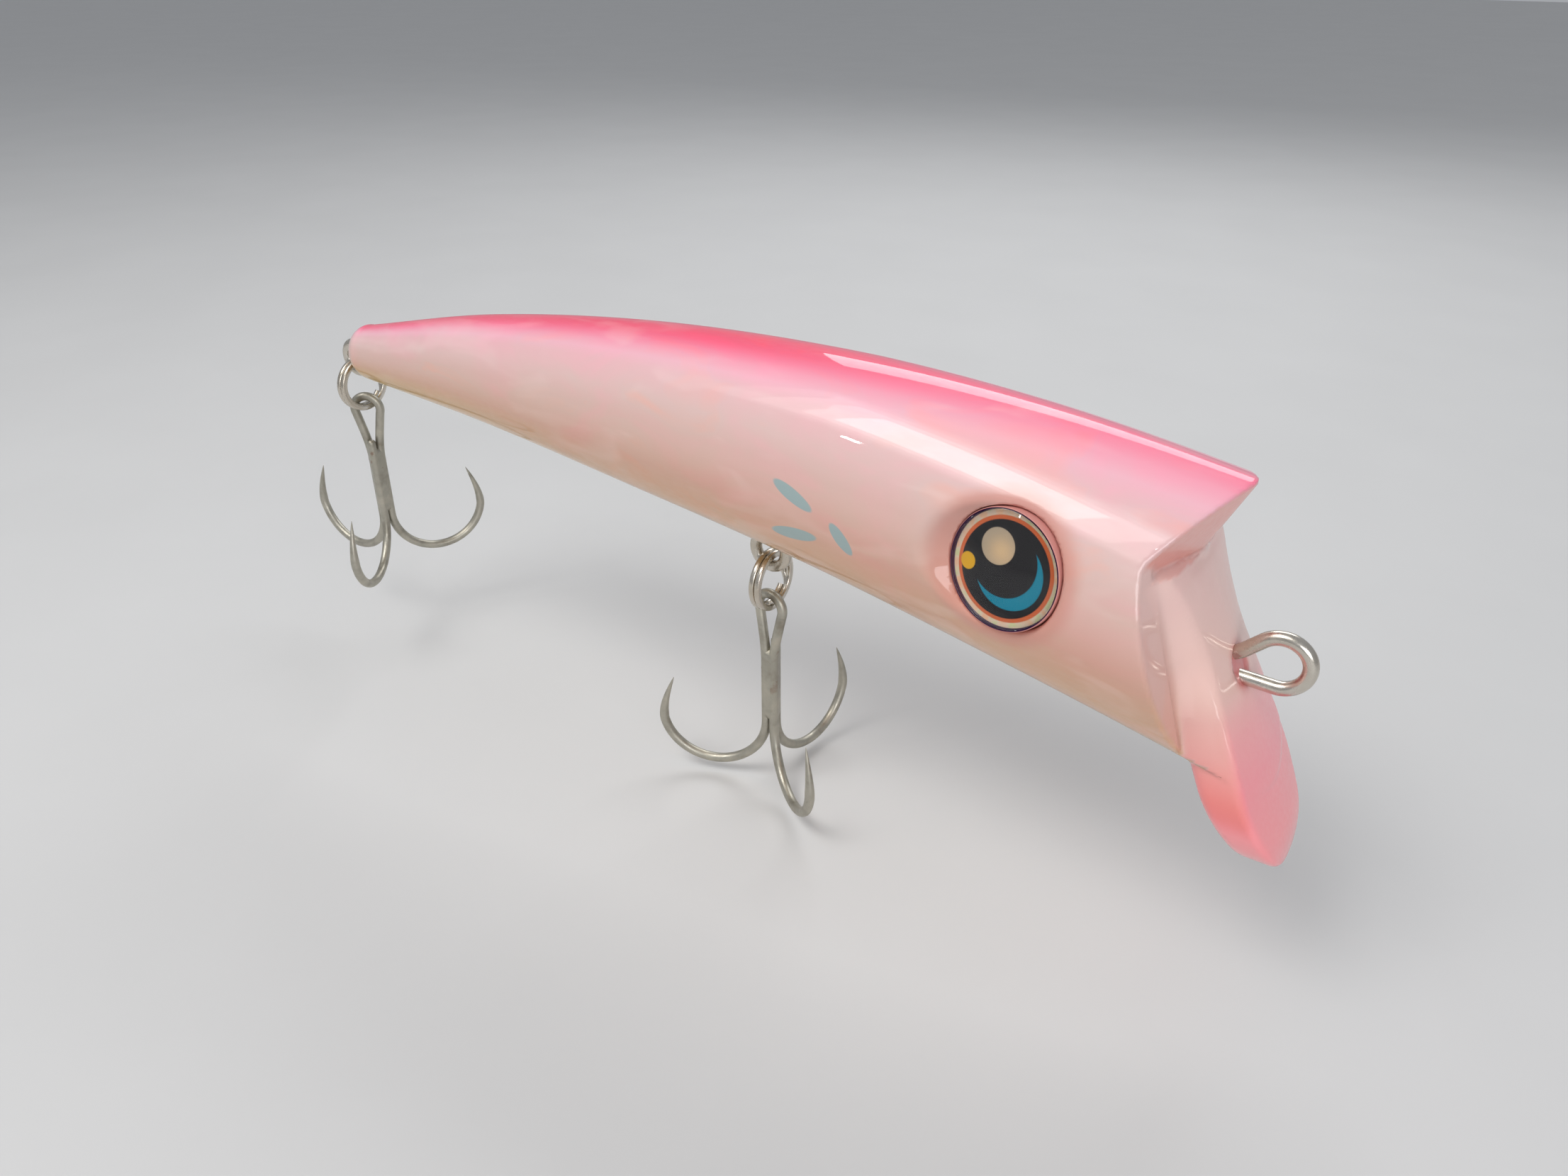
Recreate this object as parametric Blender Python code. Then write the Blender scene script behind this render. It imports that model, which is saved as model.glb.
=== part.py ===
"""Topwater popper: a hollow two-shell fishing lure with a duckbill lip, doll eyes, three wire eyelets,
two split rings, two treble hooks, fixed ballast and a rattle tube.

Run with: blender --background --python part.py

Frame: +X towards the nose, +Z up, -Y is the lure's right side. The origin is the centre of the line-tie loop.
Sizes below are in millimetres and are turned into metres as each mesh is made.
"""

import math

import bmesh
import bpy
from mathutils import Matrix, Vector

MM = 0.001

# ---------------------------------------------------------------- driving dimensions, mm

TAIL_X = -99.0
BEAK_X, BEAK_Z = -4.0, 13.4
LIP_TIP_Z = -16.5
SPLIT_GAP = 0.3
WALL = 1.4
CLEAR = 0.3

# The body's lines at a few stations along X: top of the back, bottom of the belly, half width.
TAIL_ROUND = 2.6
STATIONS = (
    (TAIL_X + TAIL_ROUND, 8.5, 2.4, 2.7),
    (-78.0, 12.6, 1.5, 4.8),
    (-57.7, 15.3, -0.4, 6.7),
    (-38.0, 16.2, -2.6, 8.1),
    (-20.3, 15.5, -5.5, 9.2),
    (BEAK_X, 13.4, -8.6, 10.0),
    (8.0, 10.9, -11.4, 10.5),
)

# The back narrows to a blunt ridge towards the nose.
RIDGE_FROM_X, RIDGE_MOST = -35.0, 0.35

# Mouth: three faces that lean forward as they go down.
ROOF_LEAN, ROOF_SWEEP = 0.47, 0.345
CHEEK_X, CHEEK_Z, CHEEK_LEAN = -8.7, 7.6, 0.307
FLUTE_Y, FLUTE_HALF, FLUTE_DEPTH = 6.2, 1.6, 0.4
FLUTE_END_Z, FLUTE_FADE = -7.0, 6.0

# Lip: a plate that leans forward, with a waist at the line tie and a round end.
LIP_X, LIP_Z, LIP_LEAN = -6.2, 5.2, 0.484
LIP_CROWN = 0.5
LIP_THICK = 3.4
LIP_ROLL, LIP_ROLL_FROM = 1.0, 3.5
LIP_TOP_Z = 7.4
LIP_WAIST, LIP_WIDE = 4.7, 6.0
LIP_WAIST_Z, LIP_WIDE_Z, LIP_ROUND_Z = 0.5, -6.0, -9.0
LIP_END_POWER = 2.0

# Wire pieces
WIRE = 1.13
LOOP_R = 2.05
HANGER_R = 1.65
ANCHOR_R = 1.6
NECK_HALF = 0.72
TIE_NECK, TIE_FLARE, TIE_DROP = 17.0, 3.4, 1.25
BOSS_R = 1.5
BELLY_X, BELLY_Z, BELLY_NECK = -44.3, -3.6, 6.6
TAIL_LOOP_X, TAIL_LOOP_Z, TAIL_LOOP_R, TAIL_NECK = -99.5, 4.35, 1.55, 8.6

# Split rings: two turns of flattened wire, drawn as one closed ring.
RING_OD = 6.0
RING_RADIAL = 0.66
RING_AXIAL = 1.2

# Treble hooks
HOOK_WIRE = 0.95
HOOK_LENGTH = 21.0
HOOK_BEND_R = 5.35
HOOK_BRAZE_TOP, HOOK_EYE_R = 6.4, 1.45
HOOK_TIP_RISE, HOOK_TIP_IN = 9.8, 1.3
HOOK_TIP_LENGTH = 3.6
TAIL_TREBLE_TURN = math.radians(-148.0)
BELLY_TREBLE_TURN = math.radians(-8.0)

# Eyes
EYE_CENTRE = (-18.1, -9.0, 6.3)
EYE_BACK_TURN, EYE_UP_TILT = math.radians(11.0), math.radians(8.5)
EYE_R = 4.65
EYE_PRINT_THICK = 0.4
EYE_DOME_RISE = 1.25
SOCKET_R, SOCKET_DEPTH = 5.1, 1.1

# Inside
CAVITY_FRONT_X, CAVITY_REAR_X = -13.5, -88.5
RIB_THICK = 1.2
TUBE_X, TUBE_Z, TUBE_LENGTH = -31.0, 8.6, 24.0
TUBE_OUTER_R, TUBE_INNER_R = 3.3, 2.75
PLUG_REACH, PLUG_FLANGE = 1.6, 0.8
BALL_R, BALL_PITCH, BALL_COUNT = 2.4, 5.1, 3
BELLY_BALLAST = (-56.0, 4.7, 3.2, 10.0)
TAIL_BALLAST = (-80.0, 6.9, 2.3, 10.0)

# Mesh density
RINGS, SIDE_POINTS, TAIL_RINGS = 22, 13, 5
WIRE_SIDES = 8

# ---------------------------------------------------------------- small helpers


def material(name, colour, roughness, metallic=0.0):
    made = bpy.data.materials.new(name)
    made.use_nodes = True
    shader = made.node_tree.nodes["Principled BSDF"]
    shader.inputs["Base Color"].default_value = (*colour, 1.0)
    shader.inputs["Roughness"].default_value = roughness
    shader.inputs["Metallic"].default_value = metallic
    return made


def add_object(name, bm, finish, origin=(0.0, 0.0, 0.0), smooth_angle=35.0):
    """Turns a bmesh in millimetres, in the lure's frame, into an object with its origin at a given point."""
    bmesh.ops.recalc_face_normals(bm, faces=bm.faces)
    bmesh.ops.transform(bm, matrix=Matrix.Scale(MM, 4) @ Matrix.Translation(-Vector(origin)), verts=bm.verts)
    mesh = bpy.data.meshes.new(name)
    bm.to_mesh(mesh)
    bm.free()
    mesh.shade_smooth()
    mesh.set_sharp_from_angle(angle=math.radians(smooth_angle))
    if finish:
        mesh.materials.append(finish)
    made = bpy.data.objects.new(name, mesh)
    made.location = Vector(origin) * MM
    bpy.context.scene.collection.objects.link(made)
    return made


def add_cutter(name, bm):
    made = add_object(name, bm, None)
    made.hide_render = True
    made.display_type = "WIRE"
    return made


def combine(target, operation, other):
    modifier = target.modifiers.new(other.name, "BOOLEAN")
    modifier.operation = operation
    modifier.object = other
    modifier.solver = "EXACT"


def hermite(x, column):
    """Smooth value of one column of STATIONS at x."""
    points = [(row[0], row[column]) for row in STATIONS]
    slopes = []
    for i in range(len(points)):
        low, high = points[max(i - 1, 0)], points[min(i + 1, len(points) - 1)]
        slopes.append((high[1] - low[1]) / (high[0] - low[0]))
    for i in range(len(points) - 1):
        (x0, y0), (x1, y1) = points[i], points[i + 1]
        if x <= x1 or i == len(points) - 2:
            t, span = (x - x0) / (x1 - x0), x1 - x0
            return (
                (2 * t**3 - 3 * t**2 + 1) * y0
                + (t**3 - 2 * t**2 + t) * span * slopes[i]
                + (3 * t**2 - 2 * t**3) * y1
                + (t**3 - t**2) * span * slopes[i + 1]
            )


def section(x, inset=0.0):
    """(centre height, half height, half width) of the body at x, shrunk by inset all round."""
    at = max(x, STATIONS[0][0])
    top, bottom, half_width = (hermite(at, column) for column in (1, 2, 3))
    end = 1.0
    if x < at:
        end = math.sqrt(max(0.0, 1.0 - ((at - x) / TAIL_ROUND) ** 2))
    return (top + bottom) / 2, (top - bottom) / 2 * end - inset, half_width * end - inset


def breadth(x, angle):
    """Share of the half width at an angle round the section, measured up from the side."""
    t = min(1.0, max(0.0, (x - RIDGE_FROM_X) / (BEAK_X - RIDGE_FROM_X)))
    power = 1.0 + RIDGE_MOST * t * max(0.0, math.sin(angle))
    return math.copysign(abs(math.cos(angle)) ** power, math.cos(angle))


def lofted(bm, rings):
    """Joins rings of equal length into a closed tube with flat ends."""
    rows = [[bm.verts.new(point) for point in ring] for ring in rings]
    count = len(rows[0])
    for low, high in zip(rows, rows[1:]):
        for i in range(count):
            j = (i + 1) % count
            bm.faces.new((low[i], low[j], high[j], high[i]))
    bm.faces.new(rows[0])
    bm.faces.new(list(reversed(rows[-1])))


def add_cylinder(bm, start, end, radius, sides=24):
    """A closed cylinder between two points."""
    start, end = Vector(start), Vector(end)
    turn = (end - start).to_track_quat("Z", "Y")
    rings = []
    for centre in (start, end):
        ring = []
        for i in range(sides):
            angle = 2 * math.pi * i / sides
            ring.append(centre + turn @ Vector((radius * math.cos(angle), radius * math.sin(angle), 0.0)))
        rings.append(ring)
    lofted(bm, rings)


def add_box(bm, low, high):
    made = bmesh.ops.create_cube(bm, size=1.0)
    size = Vector(high) - Vector(low)
    middle = (Vector(high) + Vector(low)) / 2
    bmesh.ops.transform(
        bm, matrix=Matrix.Translation(middle) @ Matrix.Diagonal((*size, 1.0)), verts=made["verts"]
    )


def rounded(points, passes=2):
    """Cuts the corners of an open path, so that it turns smoothly."""
    points = [Vector(point) for point in points]
    for _ in range(passes):
        cut = [points[0]]
        for a, b in zip(points, points[1:]):
            cut += [a.lerp(b, 0.25), a.lerp(b, 0.75)]
        points = cut + [points[-1]]
    return points


def add_tube(bm, path, radii, sides=WIRE_SIDES):
    """A round closed tube along a path, turned as little as possible from ring to ring."""
    path = [Vector(point) for point in path]
    tangents = []
    for i in range(len(path)):
        tangents.append((path[min(i + 1, len(path) - 1)] - path[max(i - 1, 0)]).normalized())
    across = tangents[0].orthogonal().normalized()
    rings = []
    for point, tangent, radius in zip(path, tangents, radii):
        across = (across - tangent * across.dot(tangent)).normalized()
        other = tangent.cross(across)
        ring = []
        for i in range(sides):
            angle = 2 * math.pi * i / sides
            ring.append(point + radius * (math.cos(angle) * across + math.sin(angle) * other))
        rings.append(ring)
    lofted(bm, rings)


# ---------------------------------------------------------------- the two shells


def station_list():
    """X of each ring: closer together round the tail's end, then evenly on past the mouth."""
    straight_from = TAIL_X + TAIL_ROUND
    found = []
    for i in range(TAIL_RINGS):
        angle = math.radians(8 + 82 * i / TAIL_RINGS)
        found.append(straight_from - TAIL_ROUND * math.cos(angle))
    reach = STATIONS[-1][0] - 3.0
    for i in range(RINGS + 1):
        found.append(straight_from + (reach - straight_from) * i / RINGS)
    return found


def add_half_body(bm, side):
    rings = []
    for x in station_list():
        centre, half_height, half_width = section(x)
        ring = []
        for i in range(SIDE_POINTS):
            angle = math.pi / 2 - math.pi * i / (SIDE_POINTS - 1)
            out = SPLIT_GAP / 2 + (half_width - SPLIT_GAP / 2) * max(0.0, breadth(x, angle))
            ring.append((x, side * out, centre + half_height * math.sin(angle)))
        rings.append(ring)
    lofted(bm, rings)


def mouth_depth(y, z):
    """X of the mouth's roof, cheeks and flutes, seen from the front."""
    roof = BEAK_X - ROOF_LEAN * (BEAK_Z - z) - ROOF_SWEEP * abs(y)
    across = min(1.0, abs(abs(y) - FLUTE_Y) / FLUTE_HALF)
    fade = min(1.0, max(0.0, (z - FLUTE_END_Z) / FLUTE_FADE))
    flute = FLUTE_DEPTH * fade * (1.0 - across**2)
    cheek = CHEEK_X + CHEEK_LEAN * (CHEEK_Z - z) - flute
    return max(roof, cheek)


def mouth_cutter():
    """Everything in front of the mouth, as one block with the mouth's shape as its back."""
    bm = bmesh.new()
    half_y, low_z, high_z, front = 13.0, -21.0, 19.0, 14.0
    across, up = 26, 20
    grid = []
    for i in range(up + 1):
        z = low_z + (high_z - low_z) * i / up
        row = []
        for j in range(across + 1):
            y = -half_y + 2 * half_y * j / across
            row.append(bm.verts.new((mouth_depth(y, z), y, z)))
        grid.append(row)
    for low, high in zip(grid, grid[1:]):
        for j in range(across):
            bm.faces.new((low[j], low[j + 1], high[j + 1], high[j]))
    rim = [edge for edge in bm.edges if edge.is_boundary]
    wall = bmesh.ops.extrude_edge_only(bm, edges=rim)["geom"]
    moved = [item for item in wall if isinstance(item, bmesh.types.BMVert)]
    for vert in moved:
        vert.co.x = front
    bmesh.ops.contextual_create(bm, geom=[e for e in bm.edges if e.is_boundary])
    return add_cutter("mouth_space", bm)


def lip_half_width(z):
    """The waist at the line tie widens to the blade, which ends in a half ellipse."""
    if z < LIP_ROUND_Z:
        drop = (LIP_ROUND_Z - z) / (LIP_ROUND_Z - LIP_TIP_Z)
        return lip_half_width(LIP_ROUND_Z) * math.sqrt(max(0.0, 1.0 - drop**LIP_END_POWER))
    t = min(1.0, max(0.0, (LIP_WAIST_Z - z) / (LIP_WAIST_Z - LIP_WIDE_Z)))
    return LIP_WAIST + (LIP_WIDE - LIP_WAIST) * t * t * (3 - 2 * t)


def add_half_lip(bm, side):
    """Rows from the mouth's roof down to the tip, each with a crowned front and a rounded back edge."""
    rows = 18
    rings = []
    for i in range(rows + 1):
        t = math.sin(math.pi / 2 * i / rows)
        z = LIP_TOP_Z + (LIP_TIP_Z + 0.15 - LIP_TOP_Z) * t
        half = lip_half_width(z)
        edge_x = LIP_X + LIP_LEAN * (LIP_Z - z)
        roll = LIP_ROLL * max(0.0, 1.0 - (z - LIP_TIP_Z) / LIP_ROLL_FROM) ** 2
        inner = SPLIT_GAP / 2
        outline = (
            (edge_x + LIP_CROWN - roll, inner),
            (edge_x + LIP_CROWN * 0.75 - roll, inner + (half - inner) * 0.5),
            (edge_x - roll, inner + (half - inner) * 0.96),
            (edge_x - LIP_THICK * 0.35, half),
            (edge_x - LIP_THICK * 0.8, inner + (half - inner) * 0.9),
            (edge_x - LIP_THICK, inner + (half - inner) * 0.7),
            (edge_x - LIP_THICK, inner),
        )
        rings.append([(x, side * y, z) for x, y in outline])
    lofted(bm, rings)


def cavity_cutter():
    """The hollow inside both shells, with the moulded ribs left standing."""
    bm = bmesh.new()
    rings = []
    steps, points = 14, 20
    for i in range(steps + 1):
        x = CAVITY_REAR_X + (CAVITY_FRONT_X - CAVITY_REAR_X) * i / steps
        centre, half_height, half_width = section(x, WALL)
        ring = []
        for j in range(points):
            angle = 2 * math.pi * (j + 0.5) / points
            ring.append((x, half_width * breadth(x, angle), centre + half_height * math.sin(angle)))
        rings.append(ring)
    lofted(bm, rings)
    hollow = add_cutter("hollow", bm)
    for name, rib_x, hole_z, hole_r in RIBS:
        combine(hollow, "DIFFERENCE", rib_cutter(name, rib_x, hole_z, hole_r))
    return hollow


def rib_cutter(name, rib_x, hole_z, hole_r):
    """A slab across the hollow with a round seat through it for the ballast or the tube."""
    rib_bm = bmesh.new()
    add_box(rib_bm, (rib_x - RIB_THICK / 2, -12.0, -12.0), (rib_x + RIB_THICK / 2, 12.0, 20.0))
    rib = add_cutter(name, rib_bm)
    seat_bm = bmesh.new()
    seat_rear, seat_front = (rib_x - RIB_THICK, 0.0, hole_z), (rib_x + RIB_THICK, 0.0, hole_z)
    add_cylinder(seat_bm, seat_rear, seat_front, hole_r + CLEAR, 20)
    combine(rib, "DIFFERENCE", add_cutter(name + "_seat", seat_bm))
    return rib


RIBS = (
    ("rib_tail_rear", TAIL_BALLAST[0] - 3.0, TAIL_BALLAST[1], TAIL_BALLAST[2]),
    ("rib_tail_front", TAIL_BALLAST[0] + 3.0, TAIL_BALLAST[1], TAIL_BALLAST[2]),
    ("rib_belly_rear", BELLY_BALLAST[0] - 3.0, BELLY_BALLAST[1], BELLY_BALLAST[2]),
    ("rib_belly_front", BELLY_BALLAST[0] + 3.0, BELLY_BALLAST[1], BELLY_BALLAST[2]),
    ("rib_tube_rear", TUBE_X - 7.0, TUBE_Z, TUBE_OUTER_R),
    ("rib_tube_front", TUBE_X + 7.0, TUBE_Z, TUBE_OUTER_R),
)


def eye_matrix(side):
    """Places the eye's own frame, whose +Z looks out of the head, on the given side (-1 right, 1 left)."""
    outward = Vector(
        (
            -math.sin(EYE_BACK_TURN) * math.cos(EYE_UP_TILT),
            side * math.cos(EYE_BACK_TURN) * math.cos(EYE_UP_TILT),
            math.sin(EYE_UP_TILT),
        )
    )
    turn = outward.to_track_quat("Z", "Y").to_matrix().to_4x4()
    return Matrix.Translation((EYE_CENTRE[0], -side * EYE_CENTRE[1], EYE_CENTRE[2])) @ turn


def socket_cutter(side, name):
    bm = bmesh.new()
    add_cylinder(bm, (0.0, 0.0, -SOCKET_DEPTH), (0.0, 0.0, 4.0), SOCKET_R, 28)
    bmesh.ops.transform(bm, matrix=eye_matrix(side), verts=bm.verts)
    return add_cutter(name, bm)


def eyelet_seats():
    """For each eyelet: the point on its neck's line beside its outer loop, the way out, neck and loop radius."""
    tie, belly = Vector((0.0, 0.0, -TIE_DROP)), Vector((BELLY_X, 0.0, BELLY_Z))
    tail = Vector((TAIL_LOOP_X, 0.0, TAIL_LOOP_Z))
    return (
        ("line_tie", tie, Vector((1.0, 0.0, 0.0)), TIE_NECK, LOOP_R),
        ("belly_hanger", belly, Vector((0.0, 0.0, -1.0)), BELLY_NECK, HANGER_R),
        ("tail_hanger", tail, Vector((-1.0, 0.0, -0.2)), TAIL_NECK, TAIL_LOOP_R),
    )


def eyelet_slot_cutter(name, centre, along, neck, loop_r):
    """The flat pocket that both shells leave round an eyelet's anchor ring, neck and outer loop."""
    along = along.normalized()
    across = Vector((along.z, 0.0, -along.x))
    bm = bmesh.new()
    half_y = WIRE / 2 + CLEAR
    slot_half = NECK_HALF + WIRE / 2 + CLEAR
    anchor_half = ANCHOR_R + WIRE / 2 + CLEAR
    loop_half = loop_r + WIRE / 2 + CLEAR
    opening = math.asin(slot_half / loop_half)
    outline = [(-neck + anchor_half, anchor_half), (-neck - anchor_half, anchor_half)]
    outline += [(-neck - anchor_half, -anchor_half), (-neck + anchor_half, -anchor_half)]
    outline.append((-neck + anchor_half, -slot_half))
    steps = 12
    for i in range(steps + 1):
        angle = -math.pi + opening + (2 * math.pi - 2 * opening) * i / steps
        outline.append((loop_half * math.cos(angle), loop_half * math.sin(angle)))
    outline.append((-neck + anchor_half, slot_half))
    rings = []
    for y in (-half_y, half_y):
        rings.append([centre + along * u + across * v + Vector((0.0, y, 0.0)) for u, v in outline])
    lofted(bm, rings)
    return add_cutter(name + "_slot", bm)


def peg_cutter(name, centre, along, neck):
    """A boss on the right shell's wall, with a peg that an anchor ring sits on and that crosses the split."""
    foot = centre - along.normalized() * neck
    middle, half_height, half_width = section(foot.x)
    wall_y = half_width * math.sqrt(1.0 - ((foot.z - middle) / half_height) ** 2) - WALL / 2
    reach = WIRE / 2 + CLEAR
    rings = []
    for y, radius in (
        (-wall_y, BOSS_R),
        (-reach, BOSS_R),
        (-reach, ANCHOR_R - WIRE / 2 - CLEAR),
        (reach - CLEAR, ANCHOR_R - WIRE / 2 - CLEAR),
    ):
        ring = []
        for i in range(12):
            angle = 2 * math.pi * i / 12
            ring.append(foot + Vector((radius * math.cos(angle), y, radius * math.sin(angle))))
        rings.append(ring)
    bm = bmesh.new()
    lofted(bm, rings)
    return add_cutter(name + "_peg", bm)


def build_shells(finish):
    mouth = mouth_cutter()
    hollow = cavity_cutter()
    slots = [eyelet_slot_cutter(*seat) for seat in eyelet_seats()]
    pegs = [peg_cutter(*seat[:4]) for seat in eyelet_seats()]
    for name, side in (("shell_right", -1), ("shell_left", 1)):
        bm = bmesh.new()
        add_half_body(bm, side)
        shell = add_object(name, bm, finish)
        lip_bm = bmesh.new()
        add_half_lip(lip_bm, side)
        combine(shell, "DIFFERENCE", mouth)
        combine(shell, "UNION", add_cutter(name + "_lip", lip_bm))
        combine(shell, "DIFFERENCE", hollow)
        combine(shell, "DIFFERENCE", socket_cutter(side, name + "_socket"))
        for slot in slots:
            combine(shell, "DIFFERENCE", slot)
        if side < 0:
            for peg in pegs:
                combine(shell, "UNION", peg)


# ---------------------------------------------------------------- eyes


def build_eyes(print_finish, dome_finish):
    for name, side in (("right", -1), ("left", 1)):
        floor = -SOCKET_DEPTH + CLEAR
        bm = bmesh.new()
        add_cylinder(bm, (0.0, 0.0, floor), (0.0, 0.0, floor + EYE_PRINT_THICK), EYE_R, 32)
        bmesh.ops.transform(bm, matrix=eye_matrix(side), verts=bm.verts)
        add_object("eye_print_" + name, bm, print_finish)

        base = floor + EYE_PRINT_THICK + CLEAR
        sphere_r = (EYE_R**2 + EYE_DOME_RISE**2) / (2 * EYE_DOME_RISE)
        bm = bmesh.new()
        rings, steps, sides = [], 5, 32
        for step in range(steps + 1):
            angle = math.asin(EYE_R / sphere_r) * (1 - step / (steps + 0.2))
            radius = sphere_r * math.sin(angle)
            height = base + EYE_DOME_RISE - sphere_r * (1 - math.cos(angle))
            ring = []
            for i in range(sides):
                turn = 2 * math.pi * i / sides
                ring.append((radius * math.cos(turn), radius * math.sin(turn), height))
            rings.append(ring)
        lofted(bm, rings)
        bmesh.ops.transform(bm, matrix=eye_matrix(side), verts=bm.verts)
        add_object("eye_dome_" + name, bm, dome_finish)


# ---------------------------------------------------------------- wire eyelets, split rings, treble hooks


def tie_loop():
    """The line tie's outer loop, which stands TIE_DROP above its neck, with the neck's wires spreading to it."""
    flat = [(-TIE_FLARE - WIRE / 2, -NECK_HALF), (-TIE_FLARE, -NECK_HALF)]
    turns = []
    for side in (-1, 1):
        back, off = -TIE_FLARE, side * NECK_HALF + TIE_DROP
        turns.append(math.atan2(off, back) % (2 * math.pi) - side * math.acos(LOOP_R / math.hypot(back, off)))
    start, end = turns[0], turns[1] + 2 * math.pi
    if start > math.pi * 2:
        start -= 2 * math.pi
    steps = 14
    for i in range(steps + 1):
        angle = start + (end - start) * i / steps
        flat.append((LOOP_R * math.cos(angle), LOOP_R * math.sin(angle) - TIE_DROP))
    return flat + [(-TIE_FLARE, NECK_HALF), (-TIE_FLARE - WIRE / 2, NECK_HALF)]


def eyelet_path(centre, along, neck, loop_r, loop):
    """A dumbbell of wire: out round the anchor ring, along the neck, round the outer loop and back."""
    along = along.normalized()
    across = Vector((along.z, 0.0, -along.x))
    flat = []
    open_anchor = math.asin(NECK_HALF / ANCHOR_R)
    open_loop = math.asin(NECK_HALF / loop_r)
    steps = 12
    for i in range(steps + 1):
        angle = open_anchor + (2 * math.pi - 2 * open_anchor) * i / steps
        flat.append((-neck + ANCHOR_R * math.cos(angle), ANCHOR_R * math.sin(angle)))
    if loop:
        flat += loop
    else:
        for i in range(steps + 1):
            angle = math.pi + open_loop + (2 * math.pi - 2 * open_loop) * i / steps
            flat.append((loop_r * math.cos(angle), loop_r * math.sin(angle)))
    flat.append((-neck + ANCHOR_R + WIRE + CLEAR, NECK_HALF))
    return rounded([centre + along * u + across * v for u, v in flat], passes=1)


def build_eyelets(finish):
    for name, centre, along, neck, loop_r in eyelet_seats():
        bm = bmesh.new()
        loop = tie_loop() if name == "line_tie" else []
        path = eyelet_path(centre, along, neck, loop_r, loop)
        add_tube(bm, path, [WIRE / 2] * len(path))
        add_object(name, bm, finish)


def ring_drop():
    """From the hanger wire's centre down to the split ring's centre, with the ring hanging on the wire."""
    centreline = (RING_OD - RING_RADIAL) / 2
    return centreline - (WIRE / 2 + RING_RADIAL / 2 + CLEAR)


def hook_drop():
    """From the hanger wire's centre down to the split ring's lowest section, where the hook's eye hangs."""
    return ring_drop() + (RING_OD - RING_RADIAL) / 2


def build_ring(name, hanger, finish):
    """hanger is the centre of the wire that the ring hangs on, and the ring's own pivot."""
    bm = bmesh.new()
    centre = hanger - Vector((0.0, 0.0, ring_drop()))
    middle_r = (RING_OD - RING_RADIAL) / 2
    corner = 0.3
    profile = []
    for side_x, side_r in ((1, -1), (1, 1), (-1, 1), (-1, -1)):
        first = (side_x * RING_AXIAL / 2, side_r * RING_RADIAL / 2 * (1 - corner))
        second = (side_x * (RING_AXIAL / 2 - corner * RING_RADIAL / 2), side_r * RING_RADIAL / 2)
        profile += [second, first] if side_x * side_r < 0 else [first, second]
    profile = [(x, middle_r + r) for x, r in profile]
    steps = 36
    rows = []
    for i in range(steps):
        angle = 2 * math.pi * i / steps
        rows.append(
            [
                bm.verts.new((centre.x + x, r * math.sin(angle), centre.z + r * math.cos(angle)))
                for x, r in profile
            ]
        )
    for i in range(steps):
        low, high = rows[i], rows[(i + 1) % steps]
        for j in range(len(profile)):
            k = (j + 1) % len(profile)
            bm.faces.new((low[j], low[k], high[k], high[j]))
    return add_object(name, bm, finish, origin=hanger)


def prong_path(azimuth, shank_r):
    """Centre line of one bend and point, from the shank's foot, in a frame at the top of the hook's eye."""
    out = Vector((math.cos(azimuth), math.sin(azimuth), 0.0))
    bend_z = -HOOK_LENGTH + HOOK_WIRE / 2 + HOOK_BEND_R
    middle_r = shank_r + HOOK_BEND_R
    found = []
    steps = 10
    for i in range(steps + 1):
        angle = math.pi * (1 + 0.94 * i / steps)
        height = Vector((0.0, 0.0, bend_z + HOOK_BEND_R * math.sin(angle)))
        found.append(out * (middle_r + HOOK_BEND_R * math.cos(angle)) + height)
    tip = out * (middle_r + HOOK_BEND_R - HOOK_TIP_IN) + Vector((0.0, 0.0, -HOOK_LENGTH + HOOK_TIP_RISE))
    last = found[-1]
    length = (tip - last).length
    for share in (0.3, 1.0 - HOOK_TIP_LENGTH * 0.5 / length, 1.0):
        found.append(last.lerp(tip, share) + out * 0.35 * math.sin(math.pi * share))
    return found


def taper(path):
    """Full wire, drawn out to a point over the last stretch."""
    found = []
    for point in path:
        left = (path[-1] - point).length
        found.append(HOOK_WIRE / 2 * max(0.1, min(1.0, left / HOOK_TIP_LENGTH) ** 0.8))
    return found


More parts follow.
